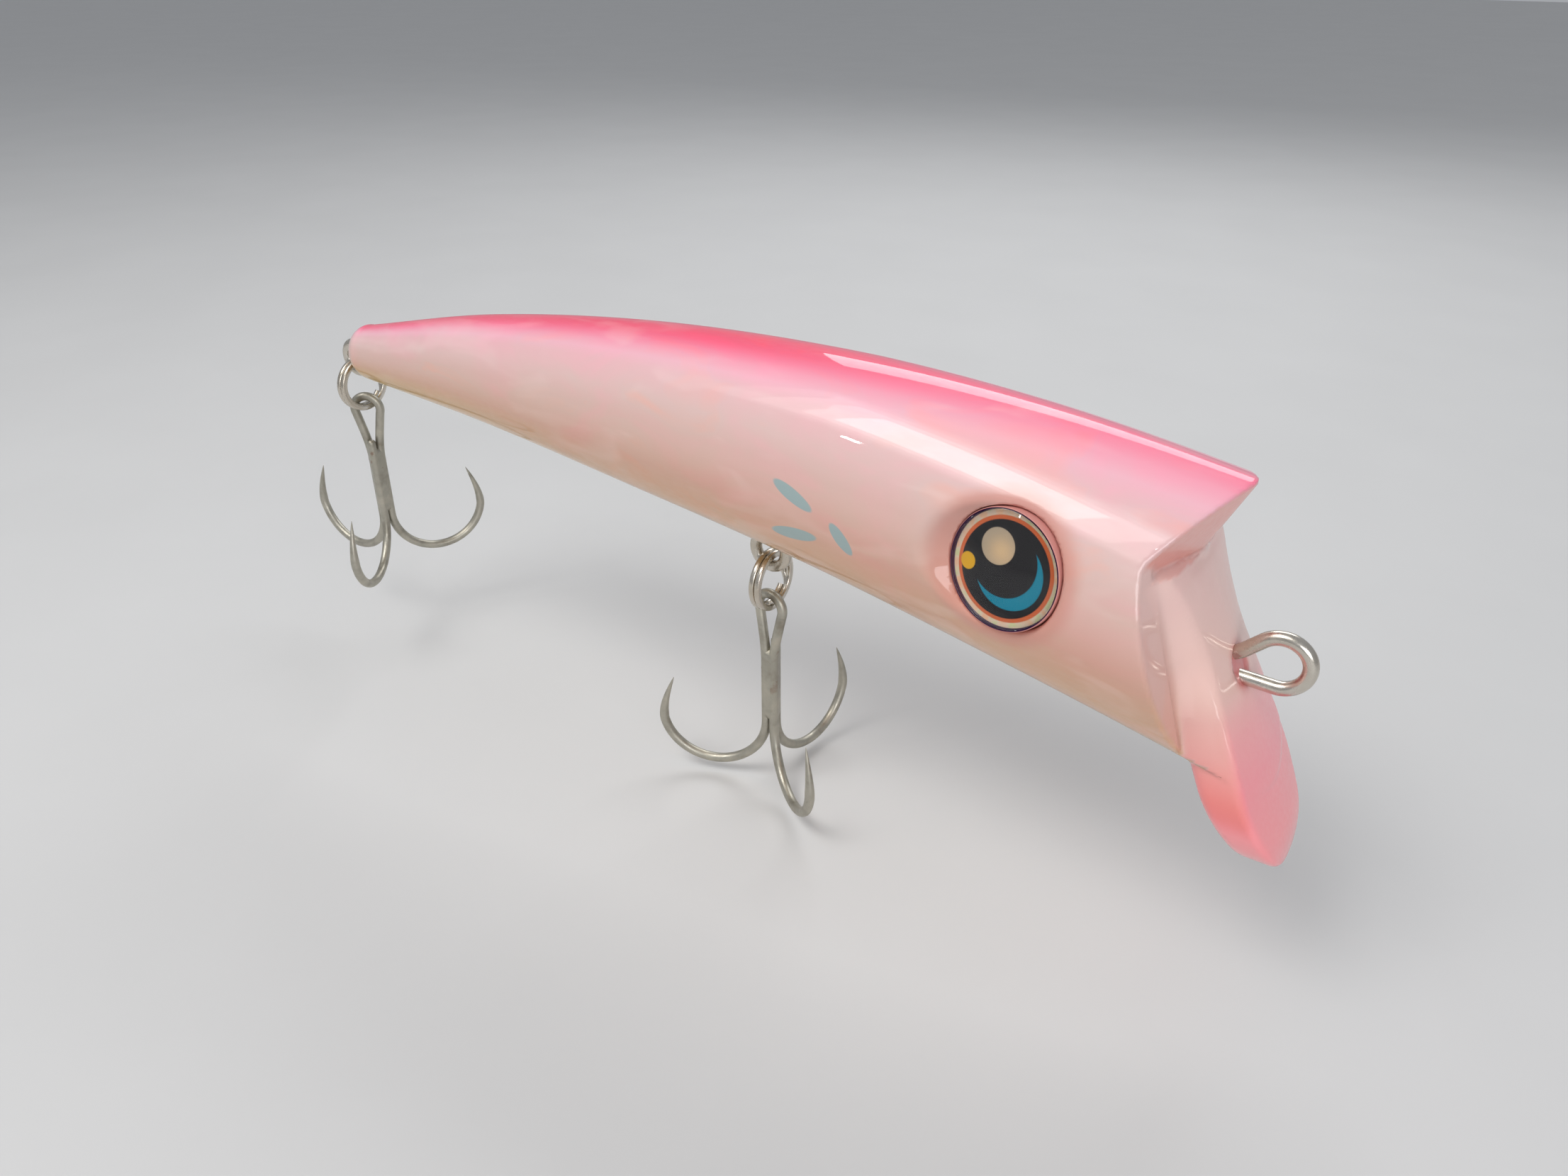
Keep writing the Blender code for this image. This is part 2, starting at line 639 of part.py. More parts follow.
def build_treble(name, pivot, turn, finish):
    """pivot is the centre of the split ring's lowest section. The hook's eye rests on it."""
    shank_r = HOOK_WIRE / 2 / math.cos(math.pi / 6) + 0.08
    pair = [math.radians(210), math.radians(330)]
    left, right = (Vector((shank_r * math.cos(a), shank_r * math.sin(a), 0.0)) for a in pair)
    plane_y = left.y
    shank_top = -HOOK_BRAZE_TOP

    eye = []
    steps = 10
    eye_z = -HOOK_WIRE / 2 - HOOK_EYE_R
    for i in range(steps + 1):
        angle = math.radians(205 - 230 * i / steps)
        across, height = HOOK_EYE_R * math.cos(angle), HOOK_EYE_R * math.sin(angle)
        eye.append(Vector((across, plane_y * 0.3, eye_z + height)))
    left_leg = [left + Vector((0.0, 0.0, shank_top - 2.0)), left + Vector((-0.1, 0.0, shank_top + 0.4))]
    right_leg = [right + Vector((0.1, 0.0, shank_top + 0.4)), right + Vector((0.0, 0.0, shank_top - 2.0))]
    left_prong, right_prong = (prong_path(azimuth, shank_r) for azimuth in pair)
    path = list(reversed(left_prong)) + left_leg + eye + right_leg + right_prong
    radii = taper(left_prong)
    middle = len(left_leg) + len(eye) + len(right_leg)

    bm = bmesh.new()
    add_tube(bm, path, list(reversed(radii)) + [HOOK_WIRE / 2] * middle + radii)

    azimuth = math.radians(90)
    third = [Vector((0.0, shank_r, shank_top + 0.3)), Vector((0.0, shank_r, shank_top - 3.0))]
    third += prong_path(azimuth, shank_r)
    third_bm = bmesh.new()
    add_tube(third_bm, third, [HOOK_WIRE / 2] * 2 + taper(third[2:]))

    braze_bm = bmesh.new()
    bend_z = -HOOK_LENGTH + HOOK_WIRE / 2 + HOOK_BEND_R
    add_cylinder(braze_bm, (0.0, 0.0, shank_top), (0.0, 0.0, bend_z + 0.6), shank_r + 0.12, 12)

    top = pivot + Vector((0.0, 0.0, RING_RADIAL / 2 + CLEAR + HOOK_WIRE))
    place = Matrix.Translation(top) @ Matrix.Rotation(turn, 4, "Z")
    for made in (bm, third_bm, braze_bm):
        bmesh.ops.transform(made, matrix=place, verts=made.verts)
    treble = add_object(name, bm, finish, origin=pivot)
    combine(treble, "UNION", add_cutter(name + "_braze", braze_bm))
    combine(treble, "UNION", add_cutter(name + "_single", third_bm))
    return treble


def build_hooks(ring_finish, hook_finish):
    hangers = (
        ("belly", Vector((BELLY_X, 0.0, BELLY_Z - HANGER_R)), BELLY_TREBLE_TURN),
        ("tail", Vector((TAIL_LOOP_X, 0.0, TAIL_LOOP_Z - TAIL_LOOP_R)), TAIL_TREBLE_TURN),
    )
    for name, hanger, turn in hangers:
        build_ring(name + "_split_ring", hanger, ring_finish)
        build_treble(name + "_treble", hanger - Vector((0.0, 0.0, hook_drop())), turn, hook_finish)


# ---------------------------------------------------------------- ballast and rattle


def build_inside(lead, plastic, steel):
    for name, (x, z, radius, length) in (("belly_ballast", BELLY_BALLAST), ("tail_ballast", TAIL_BALLAST)):
        bm = bmesh.new()
        add_cylinder(bm, (x - length / 2, 0.0, z), (x + length / 2, 0.0, z), radius, 20)
        corners = [edge for edge in bm.edges if edge.calc_face_angle(0.0) > 1.0]
        bmesh.ops.bevel(bm, geom=corners, offset=0.5, segments=2, affect="EDGES")
        add_object(name, bm, lead)

    rear, front = TUBE_X - TUBE_LENGTH / 2, TUBE_X + TUBE_LENGTH / 2
    bm = bmesh.new()
    add_cylinder(bm, (rear, 0.0, TUBE_Z), (front, 0.0, TUBE_Z), TUBE_OUTER_R, 20)
    tube = add_object("rattle_tube", bm, plastic)
    bore_bm = bmesh.new()
    add_cylinder(bore_bm, (rear - 1.0, 0.0, TUBE_Z), (front + 1.0, 0.0, TUBE_Z), TUBE_INNER_R, 20)
    combine(tube, "DIFFERENCE", add_cutter("rattle_bore", bore_bm))

    for name, mouth_x, way in (("rattle_plug_rear", rear, -1), ("rattle_plug_front", front, 1)):
        bm = bmesh.new()
        inner, shoulder = mouth_x - way * PLUG_REACH, mouth_x + way * CLEAR
        outer = shoulder + way * PLUG_FLANGE
        rings = []
        for x, radius in (
            (inner, TUBE_INNER_R - CLEAR),
            (shoulder, TUBE_INNER_R - CLEAR),
            (shoulder, TUBE_OUTER_R),
            (outer, TUBE_OUTER_R),
        ):
            ring = []
            for i in range(20):
                angle = 2 * math.pi * i / 20
                ring.append((x, radius * math.cos(angle), TUBE_Z + radius * math.sin(angle)))
            rings.append(ring)
        lofted(bm, rings)
        add_object(name, bm, plastic)

    rearmost = rear + PLUG_REACH + CLEAR + BALL_R
    for i in range(BALL_COUNT):
        centre = Vector((rearmost + BALL_PITCH * i, 0.0, TUBE_Z))
        bm = bmesh.new()
        bmesh.ops.create_icosphere(bm, subdivisions=2, radius=BALL_R)
        bmesh.ops.translate(bm, vec=centre, verts=bm.verts)
        add_object(f"rattle_ball_{i + 1}", bm, steel, origin=centre)


def clear_scene():
    for obj in list(bpy.data.objects):
        bpy.data.objects.remove(obj, do_unlink=True)


def main():
    clear_scene()
    paint = material("pink_pearl_paint", (0.86, 0.52, 0.55), 0.12)
    print_finish = material("printed_eye", (0.03, 0.03, 0.03), 0.4)
    clear = material("clear_epoxy", (0.9, 0.92, 0.93), 0.03)
    stainless = material("stainless_wire", (0.62, 0.6, 0.56), 0.25, 1.0)
    tinned = material("tinned_hook_steel", (0.42, 0.41, 0.38), 0.38, 1.0)
    lead = material("ballast_metal", (0.2, 0.2, 0.22), 0.5, 1.0)
    plastic = material("rattle_plastic", (0.7, 0.7, 0.68), 0.3)
    steel = material("ball_steel", (0.6, 0.6, 0.6), 0.15, 1.0)

    build_shells(paint)
    build_eyes(print_finish, clear)
    build_eyelets(stainless)
    build_hooks(stainless, tinned)
    build_inside(lead, plastic, steel)


main()
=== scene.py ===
import math

import bpy
import numpy as np
from mathutils import Matrix, Vector


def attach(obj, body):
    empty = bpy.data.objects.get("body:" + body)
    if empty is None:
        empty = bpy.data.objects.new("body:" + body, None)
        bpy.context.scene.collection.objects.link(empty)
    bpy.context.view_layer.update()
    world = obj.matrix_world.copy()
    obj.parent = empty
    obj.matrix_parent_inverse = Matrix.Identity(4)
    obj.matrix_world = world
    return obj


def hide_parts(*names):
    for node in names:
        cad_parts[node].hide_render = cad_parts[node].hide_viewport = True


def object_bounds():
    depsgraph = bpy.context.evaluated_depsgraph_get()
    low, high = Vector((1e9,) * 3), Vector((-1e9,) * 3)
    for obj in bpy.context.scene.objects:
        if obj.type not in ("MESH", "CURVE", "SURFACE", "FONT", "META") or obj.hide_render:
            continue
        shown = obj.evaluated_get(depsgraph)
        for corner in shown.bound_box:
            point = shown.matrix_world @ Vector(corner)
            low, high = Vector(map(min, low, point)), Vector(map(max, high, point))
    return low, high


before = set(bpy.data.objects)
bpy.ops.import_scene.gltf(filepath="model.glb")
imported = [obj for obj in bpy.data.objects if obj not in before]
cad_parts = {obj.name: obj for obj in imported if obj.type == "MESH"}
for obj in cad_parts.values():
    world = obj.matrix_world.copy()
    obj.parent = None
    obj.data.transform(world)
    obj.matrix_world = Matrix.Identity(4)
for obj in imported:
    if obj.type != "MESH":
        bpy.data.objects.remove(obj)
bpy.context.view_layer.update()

# The looks of the topwater popper. Lengths are in millimetres in the frame's own axes (+X nose, +Z back,
# -Y the lure's right side, origin at the line-tie loop) and turn into metres as each mesh is made.
MM = 0.001

# ---------------------------------------------------------------- the body's shape, mm

TAIL_X, TAIL_ROUND = -99.0, 2.6
BEAK_X, BEAK_Z = -4.0, 13.4
# X, top of the back, bottom of the belly, half width
STATIONS = np.array(
    [
        (TAIL_X + TAIL_ROUND, 8.5, 2.4, 2.7),
        (-78.0, 12.6, 1.5, 4.8),
        (-57.7, 15.3, -0.4, 6.7),
        (-38.0, 16.2, -2.6, 8.1),
        (-20.3, 15.5, -5.5, 9.2),
        (BEAK_X, 13.4, -8.6, 10.0),
        (8.0, 10.9, -11.4, 10.5),
    ]
)
RIDGE_FROM_X, RIDGE_MOST = -35.0, 0.35
ROOF_LEAN, ROOF_SWEEP = 0.47, 0.345
CHEEK_X, CHEEK_Z, CHEEK_LEAN, CHEEK_TURN = -8.7, 7.6, 0.307, 0.16
CHEEK_EDGE_Y, CHEEK_TURN_WIDTH = 9.7, 5.0
FLUTE_Y, FLUTE_HALF, FLUTE_DEPTH = 5.7, 1.5, 0.35
# How fast the fields of the cut faces grow, so that their edges with the hull round evenly
CUT_STEEPNESS = 0.8
LIP_X, LIP_Z, LIP_LEAN = -6.2, 5.2, 0.484
LIP_CROWN, LIP_THICK = 0.5, 3.8
LIP_ROLL, LIP_ROLL_FROM = 1.0, 3.5
LIP_TOP_Z, LIP_TIP_Z, LIP_ROUND_Z = 7.4, -16.5, -9.0
# Z, half width of the tongue's and lip's front face, slope of the tongue's sides
LIP_WIDTHS = np.array(
    [
        (-9.0, 6.0, 9.0),
        (-6.0, 5.5, 5.0),
        (-3.0, 4.9, 2.3),
        (1.2, 4.2, 1.05),
        (4.4, 4.8, 0.9),
        (7.2, 6.2, 0.8),
    ]
)
TIE_HOLE_R, TIE_HOLE_Z, TIE_HOLE_DEPTH = 1.35, -1.1, 0.12

EYE_CENTRE = (-18.5, 8.4, 5.9)
EYE_BACK_TURN, EYE_UP_TILT = math.radians(11.0), math.radians(8.5)
EYE_R = 4.65
EYE_FLOOR, EYE_PRINT_TOP = -1.1, -0.7
EYE_DOME_TOP, EYE_RIM_TOP, LENS_R = 1.1, 0.0, 4.5
SOCKET_R, SOCKET_DEPTH, SOCKET_FLARE = 4.72, 1.25, 0.9

# How widely neighbouring surfaces blend into each other
ROOF_BLEND, TONGUE_BLEND, MOUTH_RIM_BLEND = 0.45, 0.7, 0.35
LIP_EDGE_BLEND, LIP_BACK_BLEND, LIP_TOP_BLEND, LIP_ROOT_BLEND = 0.7, 1.3, 1.0, 0.2
SEAT_BLEND, SOCKET_BLEND = 0.3, 0.6
# How far the pink stripe of the back draws in towards the nose, as a share of the half height
STRIPE_NARROWING = 0.06

# ---------------------------------------------------------------- hardware, mm

WIRE = 1.13
NECK_HALF = 0.72
TIE_FLARE, BELLY_FLARE, TAIL_FLARE = 3.4, 2.7, 2.4
TIE_DROP, NECK_BURIED = 1.25, 3.0
TIE_LOOP_R, BELLY_LOOP_R, TAIL_LOOP_R = 2.05, 1.65, 1.55
BELLY_LOOP = (-44.3, 0.0, -3.6)
TAIL_LOOP = (-99.5, 0.0, 4.35)
RING_OD, RING_RADIAL, RING_AXIAL = 6.0, 0.66, 1.2
RING_START, RING_CROSS = math.radians(128.0), math.radians(34.0)
CLEAR = 0.3
HOOK_WIRE, HOOK_LENGTH, HOOK_BEND_R = 0.95, 21.0, 5.35
HOOK_BRAZE_TOP, HOOK_EYE_R = 6.4, 1.45
HOOK_BEND_ANGLE = math.radians(167.4)
HOOK_TIP_RISE, HOOK_TIP_IN, HOOK_TIP_LENGTH, HOOK_TIP_BOW = 9.8, 1.3, 4.6, 0.32
TAIL_TREBLE_TURN, BELLY_TREBLE_TURN = math.radians(-148.0), math.radians(-8.0)

# ---------------------------------------------------------------- view

CAMERA_MM = (9.34, -78.88, 46.67)
CAMERA_RIGHT = (0.833734, 0.552166, 0.00022)
CAMERA_UP = (-0.273552, 0.412699, 0.86882)
LENS_MM, SENSOR_MM = 27.03, 36.0
# The key light is a set of nested panels, so that its reflection fades out towards its edge
KEY_SIZES, KEY_POWER = (0.34, 0.28, 0.22, 0.16), 0.9

# ---------------------------------------------------------------- meshes


def linear(red, green, blue):
    """A colour given as 0 to 255 screen values, as linear light."""
    found = []
    for value in (red, green, blue):
        value /= 255.0
        found.append(value / 12.92 if value <= 0.04045 else ((value + 0.055) / 1.055) ** 2.4)
    return (*found, 1.0)


def add_piece(name, points, faces, body, material, nodes, normals=None):
    """A smooth mesh piece, in millimetres, that rides on a body and stands for CAD nodes."""
    mesh = bpy.data.meshes.new(name)
    mesh.from_pydata((np.asarray(points, float) * MM).tolist(), [], faces)
    mesh.shade_smooth()
    if normals is not None:
        mesh.normals_split_custom_set_from_vertices(normals.tolist())
    mesh.materials.append(material)
    made = bpy.data.objects.new(name, mesh)
    bpy.context.scene.collection.objects.link(made)
    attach(made, body)
    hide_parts(*nodes)
    return made


class Shape:
    """Points and faces of one piece, gathered from rings and tubes."""

    def __init__(self):
        self.points, self.faces = [], []

    def loft(self, rings):
        """Joins rings of equal length and closes both ends."""
        base, count = len(self.points), len(rings[0])
        for ring in rings:
            self.points.extend(tuple(point) for point in ring)
        for i in range(len(rings) - 1):
            low, high = base + i * count, base + (i + 1) * count
            for j in range(count):
                k = (j + 1) % count
                self.faces.append((low + j, low + k, high + k, high + j))
        self.faces.append(tuple(range(base + count - 1, base - 1, -1)))
        top = base + (len(rings) - 1) * count
        self.faces.append(tuple(range(top, top + count)))

    def tube(self, path, radii, sides):
        """A round-ended tube along a path, with the rings turned as little as possible."""
        path, radii = with_round_ends(path, radii)
        tangents = []
        for i in range(len(path)):
            tangents.append((path[min(i + 1, len(path) - 1)] - path[max(i - 1, 0)]).normalized())
        across = tangents[0].orthogonal().normalized()
        rings = []
        for point, tangent, radius in zip(path, tangents, radii):
            across = (across - tangent * across.dot(tangent)).normalized()
            other = tangent.cross(across)
            ring = []
            for i in range(sides):
                angle = 2 * math.pi * i / sides
                ring.append(point + radius * (math.cos(angle) * across + math.sin(angle) * other))
            rings.append(ring)
        self.loft(rings)


def with_round_ends(path, radii, steps=4):
    """Adds a few short steps at both ends, so that the tube ends in a dome."""
    new_path, new_radii = [], []
    for i in range(steps, 0, -1):
        angle = math.pi / 2 * (i - 0.15) / steps
        direction = (path[0] - path[1]).normalized()
        new_path.append(path[0] + direction * radii[0] * 0.9 * math.sin(angle))
        new_radii.append(radii[0] * math.cos(angle))
    new_path += path
    new_radii += radii
    for i in range(1, steps + 1):
        angle = math.pi / 2 * (i - 0.15) / steps
        direction = (path[-1] - path[-2]).normalized()
        new_path.append(path[-1] + direction * radii[-1] * 0.9 * math.sin(angle))
        new_radii.append(radii[-1] * math.cos(angle))
    return new_path, new_radii


def rounded(points, passes=3):
    """Cuts the corners of an open path, so that it turns smoothly."""
    points = [Vector(point) for point in points]
    for _ in range(passes):
        cut = [points[0]]
        for a, b in zip(points, points[1:]):
            cut += [a.lerp(b, 0.25), a.lerp(b, 0.75)]
        points = cut + [points[-1]]
    return points


# ---------------------------------------------------------------- the body as a field, negative inside


def smooth_max(a, b, blend):
    """The larger of two fields, with a rounded step between them."""
    near = np.clip(1.0 - np.abs(a - b) / blend, 0.0, 1.0)
    return np.maximum(a, b) + near**2 * blend / 4.0


def smooth_min(a, b, blend):
    return -smooth_max(-a, -b, blend)


def body_line(x, column):
    """Smooth value of one column of STATIONS at each x."""
    xs, ys = STATIONS[:, 0], STATIONS[:, column]
    slopes = np.empty(len(xs))
    slopes[1:-1] = (ys[2:] - ys[:-2]) / (xs[2:] - xs[:-2])
    slopes[0] = (ys[1] - ys[0]) / (xs[1] - xs[0])
    slopes[-1] = (ys[-1] - ys[-2]) / (xs[-1] - xs[-2])
    i = np.clip(np.searchsorted(xs, x) - 1, 0, len(xs) - 2)
    span = xs[i + 1] - xs[i]
    t = (x - xs[i]) / span
    return (
        (2 * t**3 - 3 * t**2 + 1) * ys[i]
        + (t**3 - 2 * t**2 + t) * span * slopes[i]
        + (3 * t**2 - 2 * t**3) * ys[i + 1]
        + (t**3 - t**2) * span * slopes[i + 1]
    )


def section(x):
    """(centre height, half height, half width) at each x."""
    at = np.clip(x, STATIONS[0, 0], STATIONS[-1, 0])
    top, bottom, half_width = (body_line(at, column) for column in (1, 2, 3))
    return (top + bottom) / 2, (top - bottom) / 2, half_width


def hull_field(x, y, z):
    """The fish-shaped body before the mouth is cut."""
    centre, half_height, half_width = section(x)
    rise = (z - centre) / half_height
    ridge = np.clip((x - RIDGE_FROM_X) / (BEAK_X - RIDGE_FROM_X), 0.0, 1.0)
    power = 2.0 / (1.0 + RIDGE_MOST * ridge * np.clip(rise, 0.0, 1.0))
    side = np.sqrt(y**2 + 1e-4) / half_width
    tail = np.maximum(0.0, (STATIONS[0, 0] - x) / TAIL_ROUND)
    value = side**power + rise**2 + tail**2 - 1.0
    across = power * side ** (power - 1.0) / half_width
    steepness = np.sqrt(across**2 + (2 * rise / half_height) ** 2 + (2 * tail / TAIL_ROUND) ** 2)
    return value / np.maximum(steepness, 0.12)


def lip_line(z, column):
    """Smooth half width (column 1) or side slope (column 2) of the tongue at each z."""
    return np.interp(z, LIP_WIDTHS[:, 0], LIP_WIDTHS[:, column])


def lip_half_width(z):
    return sum(lip_line(z + shift, 1) for shift in (-1.0, -0.5, 0.0, 0.5, 1.0)) / 5.0


def mouth_x(y, z):
    """X of the mouth's surface, and of its roof, its cheeks and the tongue, which the surface joins."""
    out = np.sqrt(y**2 + 0.25)
    roof = BEAK_X - ROOF_LEAN * (BEAK_Z - z) - ROOF_SWEEP * (out - 0.5)
    across = np.clip(np.abs(out - FLUTE_Y) / FLUTE_HALF, 0.0, 1.0)
    cheek = CHEEK_X + CHEEK_LEAN * (CHEEK_Z - z)
    cheek = cheek + CHEEK_TURN * np.clip(CHEEK_EDGE_Y - out, 0.0, CHEEK_TURN_WIDTH)
    cheek = cheek - FLUTE_DEPTH * (1.0 - across**2) ** 1.5
    beyond = out - lip_half_width(z)
    beyond = np.where(beyond > 0.35, beyond, (np.maximum(beyond + 0.35, 0.0)) ** 2 / 1.4)
    tongue = lip_front(y, z) - lip_line(z, 2) * beyond - 4.0 * np.maximum(z - LIP_TOP_Z, 0.0)
    return smooth_max(smooth_max(roof, cheek, ROOF_BLEND), tongue, TONGUE_BLEND), roof, cheek, tongue


def lip_side_field(y, z):
    """The lip's outline seen from the front: straight sides ending in a half ellipse."""
    half = lip_half_width(z)
    straight = np.abs(y) - half
    drop = np.maximum(0.0, LIP_ROUND_Z - z) / (LIP_ROUND_Z - LIP_TIP_Z)
    across = np.abs(y) / half
    value = across**2 + drop**2 - 1.0
    steepness = 2 * np.sqrt((across / half) ** 2 + (drop / (LIP_ROUND_Z - LIP_TIP_Z)) ** 2)
    return np.where(z > LIP_ROUND_Z, straight, value / np.maximum(steepness, 0.1))


def lip_front(y, z):
    """X of the lip's front face: slightly crowned across, and rolled back at the tip."""
    share = np.clip(np.abs(y) / lip_half_width(z), 0.0, 1.0)
    roll = LIP_ROLL * np.clip(1.0 - (z - LIP_TIP_Z) / LIP_ROLL_FROM, 0.0, 1.0) ** 2
    return LIP_X + LIP_LEAN * (LIP_Z - z) + LIP_CROWN * (1.0 - share**2) - roll


def eye_axes(side):
    """The eye's centre and axes on the right (-1) or left (1): along the head, up, and out."""
    flat = math.cos(EYE_UP_TILT)
    out = Vector(
        (-math.sin(EYE_BACK_TURN) * flat, side * math.cos(EYE_BACK_TURN) * flat, math.sin(EYE_UP_TILT))
    )
    along = Vector((0.0, 0.0, 1.0)).cross(out).normalized()
    return Vector((EYE_CENTRE[0], side * EYE_CENTRE[1], EYE_CENTRE[2])), along, out.cross(along), out


def body_field(x, y, z):
    """The whole painted body: hull, mouth, tongue, lip, eye sockets and the line tie's seat."""
    hull = hull_field(x, y, z)
    lean = 1.0 / math.sqrt(1.0 + LIP_LEAN**2)
    sides = lip_side_field(y, z)
    front = (x - lip_front(y, z)) * lean
    back = (lip_front(y, z) - LIP_THICK - x) * lean
    head = smooth_max(hull, (x - mouth_x(y, z)[0]) * CUT_STEEPNESS, MOUTH_RIM_BLEND)
    lip = smooth_max(smooth_max(front, sides, LIP_EDGE_BLEND), back, LIP_BACK_BLEND)
    lip = smooth_max(lip, (z - LIP_TOP_Z) * CUT_STEEPNESS, LIP_TOP_BLEND)
    whole = smooth_min(head, lip, LIP_ROOT_BLEND)
    seat = np.sqrt(y**2 + (z - TIE_HOLE_Z) ** 2) - TIE_HOLE_R
    seat = smooth_max(seat, lip_front(y, z) - x - TIE_HOLE_DEPTH, SEAT_BLEND)
    whole = smooth_max(whole, -seat, SEAT_BLEND)
    for side in (-1, 1):
        centre, _, _, out = eye_axes(side)
        depth = (x - centre.x) * out.x + (y - centre.y) * out.y + (z - centre.z) * out.z
        span = (x - centre.x) ** 2 + (y - centre.y) ** 2 + (z - centre.z) ** 2
        radial = np.sqrt(np.maximum(span - depth**2, 1e-6))
        wall = (radial - SOCKET_R - SOCKET_FLARE * np.maximum(depth, 0.0)) * CUT_STEEPNESS
        socket = np.maximum(wall, -(depth + SOCKET_DEPTH))
        whole = smooth_max(whole, -socket, SOCKET_BLEND)
    return whole


def gradient(field, points, step=0.02):
    """The field's slope at each point, by central differences."""
    found = np.empty_like(points)
    for axis in range(3):
        ahead, behind = points.copy(), points.copy()
        ahead[:, axis] += step
        behind[:, axis] -= step
        found[:, axis] = (field(*ahead.T) - field(*behind.T)) / (2 * step)
    return found


def surface_of(field, low, high, pitch):
    """Quads on the field's zero surface: one point in each grid cell that it crosses, pulled onto it."""
    sizes = [int(math.ceil((b - a) / pitch)) + 1 for a, b in zip(low, high)]
    axes = [low[i] + pitch * np.arange(sizes[i]) for i in range(3)]
    values = np.empty(sizes)
    for i, x in enumerate(axes[0]):
        values[i] = field(np.full((sizes[1], sizes[2]), x), axes[1][:, None], axes[2][None, :])
    inside = values < 0
    corners = np.zeros([size - 1 for size in sizes], int)
    for i in (0, 1):
        for j in (0, 1):
            for k in (0, 1):
                corners += inside[i : sizes[0] - 1 + i, j : sizes[1] - 1 + j, k : sizes[2] - 1 + k]
    crossed = (corners > 0) & (corners < 8)
    number = np.full(crossed.shape, -1)
    number[crossed] = np.arange(crossed.sum())
    points = np.argwhere(crossed) * pitch + np.array(low) + pitch / 2

    faces = []
    for axis in range(3):
        one, two = [other for other in (0, 1, 2) if other != axis]
        a = np.moveaxis(inside, axis, 0)
        change = a[:-1] != a[1:]
        order = [axis, one, two]
        edges = np.argwhere(change[:, 1:-1, 1:-1]) + (0, 1, 1)
        leaves = a[:-1][tuple(edges.T)]
        cells = np.transpose(number, order)
        i, j, k = edges.T
        ring = np.stack([cells[i, j - 1, k - 1], cells[i, j, k - 1], cells[i, j, k], cells[i, j - 1, k]], 1)
        flip = leaves if axis != 1 else ~leaves
        ring[~flip] = ring[~flip][:, ::-1]
        faces.append(ring)
    return points, np.concatenate(faces)


def settle(field, points, faces, rounds=5):
    """Evens the points out along the surface, then puts them exactly on it."""
    edges = np.concatenate([faces[:, [0, 1]], faces[:, [1, 2]], faces[:, [2, 3]], faces[:, [3, 0]]])
    for _ in range(rounds):
        total = np.zeros_like(points)
        count = np.zeros(len(points))
        for a, b in (edges.T, edges.T[::-1]):
            np.add.at(total, a, points[b])
            np.add.at(count, a, 1)
        points = points + 0.5 * (total / count[:, None] - points)
        for _ in range(2):
            slope = gradient(field, points)
            size = np.maximum((slope**2).sum(1), 0.05)
            points = points - slope * (field(*points.T) / size)[:, None]
    return points


def set_values(mesh, name, values):
    """Keeps one number for each point, which the paint reads."""
    mesh.attributes.new(name, "FLOAT", "POINT").data.foreach_set("value", values.astype(np.float32))


def ramp_up(value, low, high):
    """0 at low and 1 at high, with a smooth step between them; low may be the larger one."""
    t = np.clip((value - low) / (high - low), 0.0, 1.0)
    return t * t * (3 - 2 * t)


def make_body(material):
    """The skin of both shells in one mesh, with the numbers that its paint needs."""
    pitch = 0.32
    low, high = (TAIL_X - 1.0, -11.2, LIP_TIP_Z - 1.0), (6.0, 11.2, 17.2)
    points, faces = surface_of(body_field, low, high, pitch)
    points = settle(body_field, points, faces)
    normals = gradient(body_field, points)
    normals /= np.linalg.norm(normals, axis=1)[:, None]
    nodes = ("shell_right", "shell_left")
    skin = add_piece("painted_body", points, faces.tolist(), "body", material, nodes, normals)
    x, y, z = points.T
    centre, half_height, _ = section(x)
    rise = np.clip((z - centre) / half_height, -1.0, 1.0)
    rise = rise - STRIPE_NARROWING * ramp_up(x, -50.0, -6.0) * ramp_up(rise, 0.4, 0.85)
    set_values(skin.data, "rise", rise)
    inner, roof, cheek, tongue = mouth_x(y, z)
    in_mouth = ramp_up(hull_field(x, y, z), -0.05, -0.5) * (x > -20.0) * ramp_up(x - inner, -1.2, -0.2)
    # Painted shade: this mask marks the roof of the mouth, which faces down and is painted a darker pinkish
    # brown
    set_values(skin.data, "roof", in_mouth * ramp_up(roof - np.maximum(cheek, tongue), -0.3, 0.3))
    hull = hull_field(x, y, z)
    near_mouth = (x > -12.0) * (x - inner > -0.5) * (hull < 0.08)
    on_tongue = near_mouth * ramp_up(tongue - np.maximum(cheek, roof), -0.3, 0.5)
    below_chin = (hull >= 0.08) * (x > -9.0) * (z < -4.0) * ramp_up(np.abs(y), 7.0, 6.6)
    in_outline = (lip_side_field(y, z) < 0.15) * (x > lip_front(y, z) - LIP_THICK + 0.6)
    through_hull = (np.abs(hull) < 0.4) * (z < -4.0) * in_outline
    on_plate = np.maximum(np.maximum(on_tongue, below_chin), through_hull)
    set_values(skin.data, "lip", on_plate * ramp_up(z, 1.0, LIP_TIP_Z + 1.5))
    set_values(skin.data, "tongue", on_tongue)
    set_values(skin.data, "hollow", in_mouth * (1.0 - on_tongue))
    set_values(skin.data, "flank", np.abs(y) / np.maximum(lip_half_width(z), 1.0))
    away = []
    for side in (-1, 1):
        eye, _, _, out = eye_axes(side)
        span = points - np.array(eye)
        from_axis = np.sqrt(np.maximum((span**2).sum(1) - (span @ np.array(out)) ** 2, 0.0))
        away.append(np.where(y * side < 0, np.inf, from_axis))
    set_values(skin.data, "socket", ramp_up(np.minimum(*away), 6.6, 5.2))
    set_values(skin.data, "seat", ramp_up(np.sqrt(y**2 + (z - TIE_HOLE_Z) ** 2), 2.3, 1.0) * (x > -6.0))


# ---------------------------------------------------------------- eyes


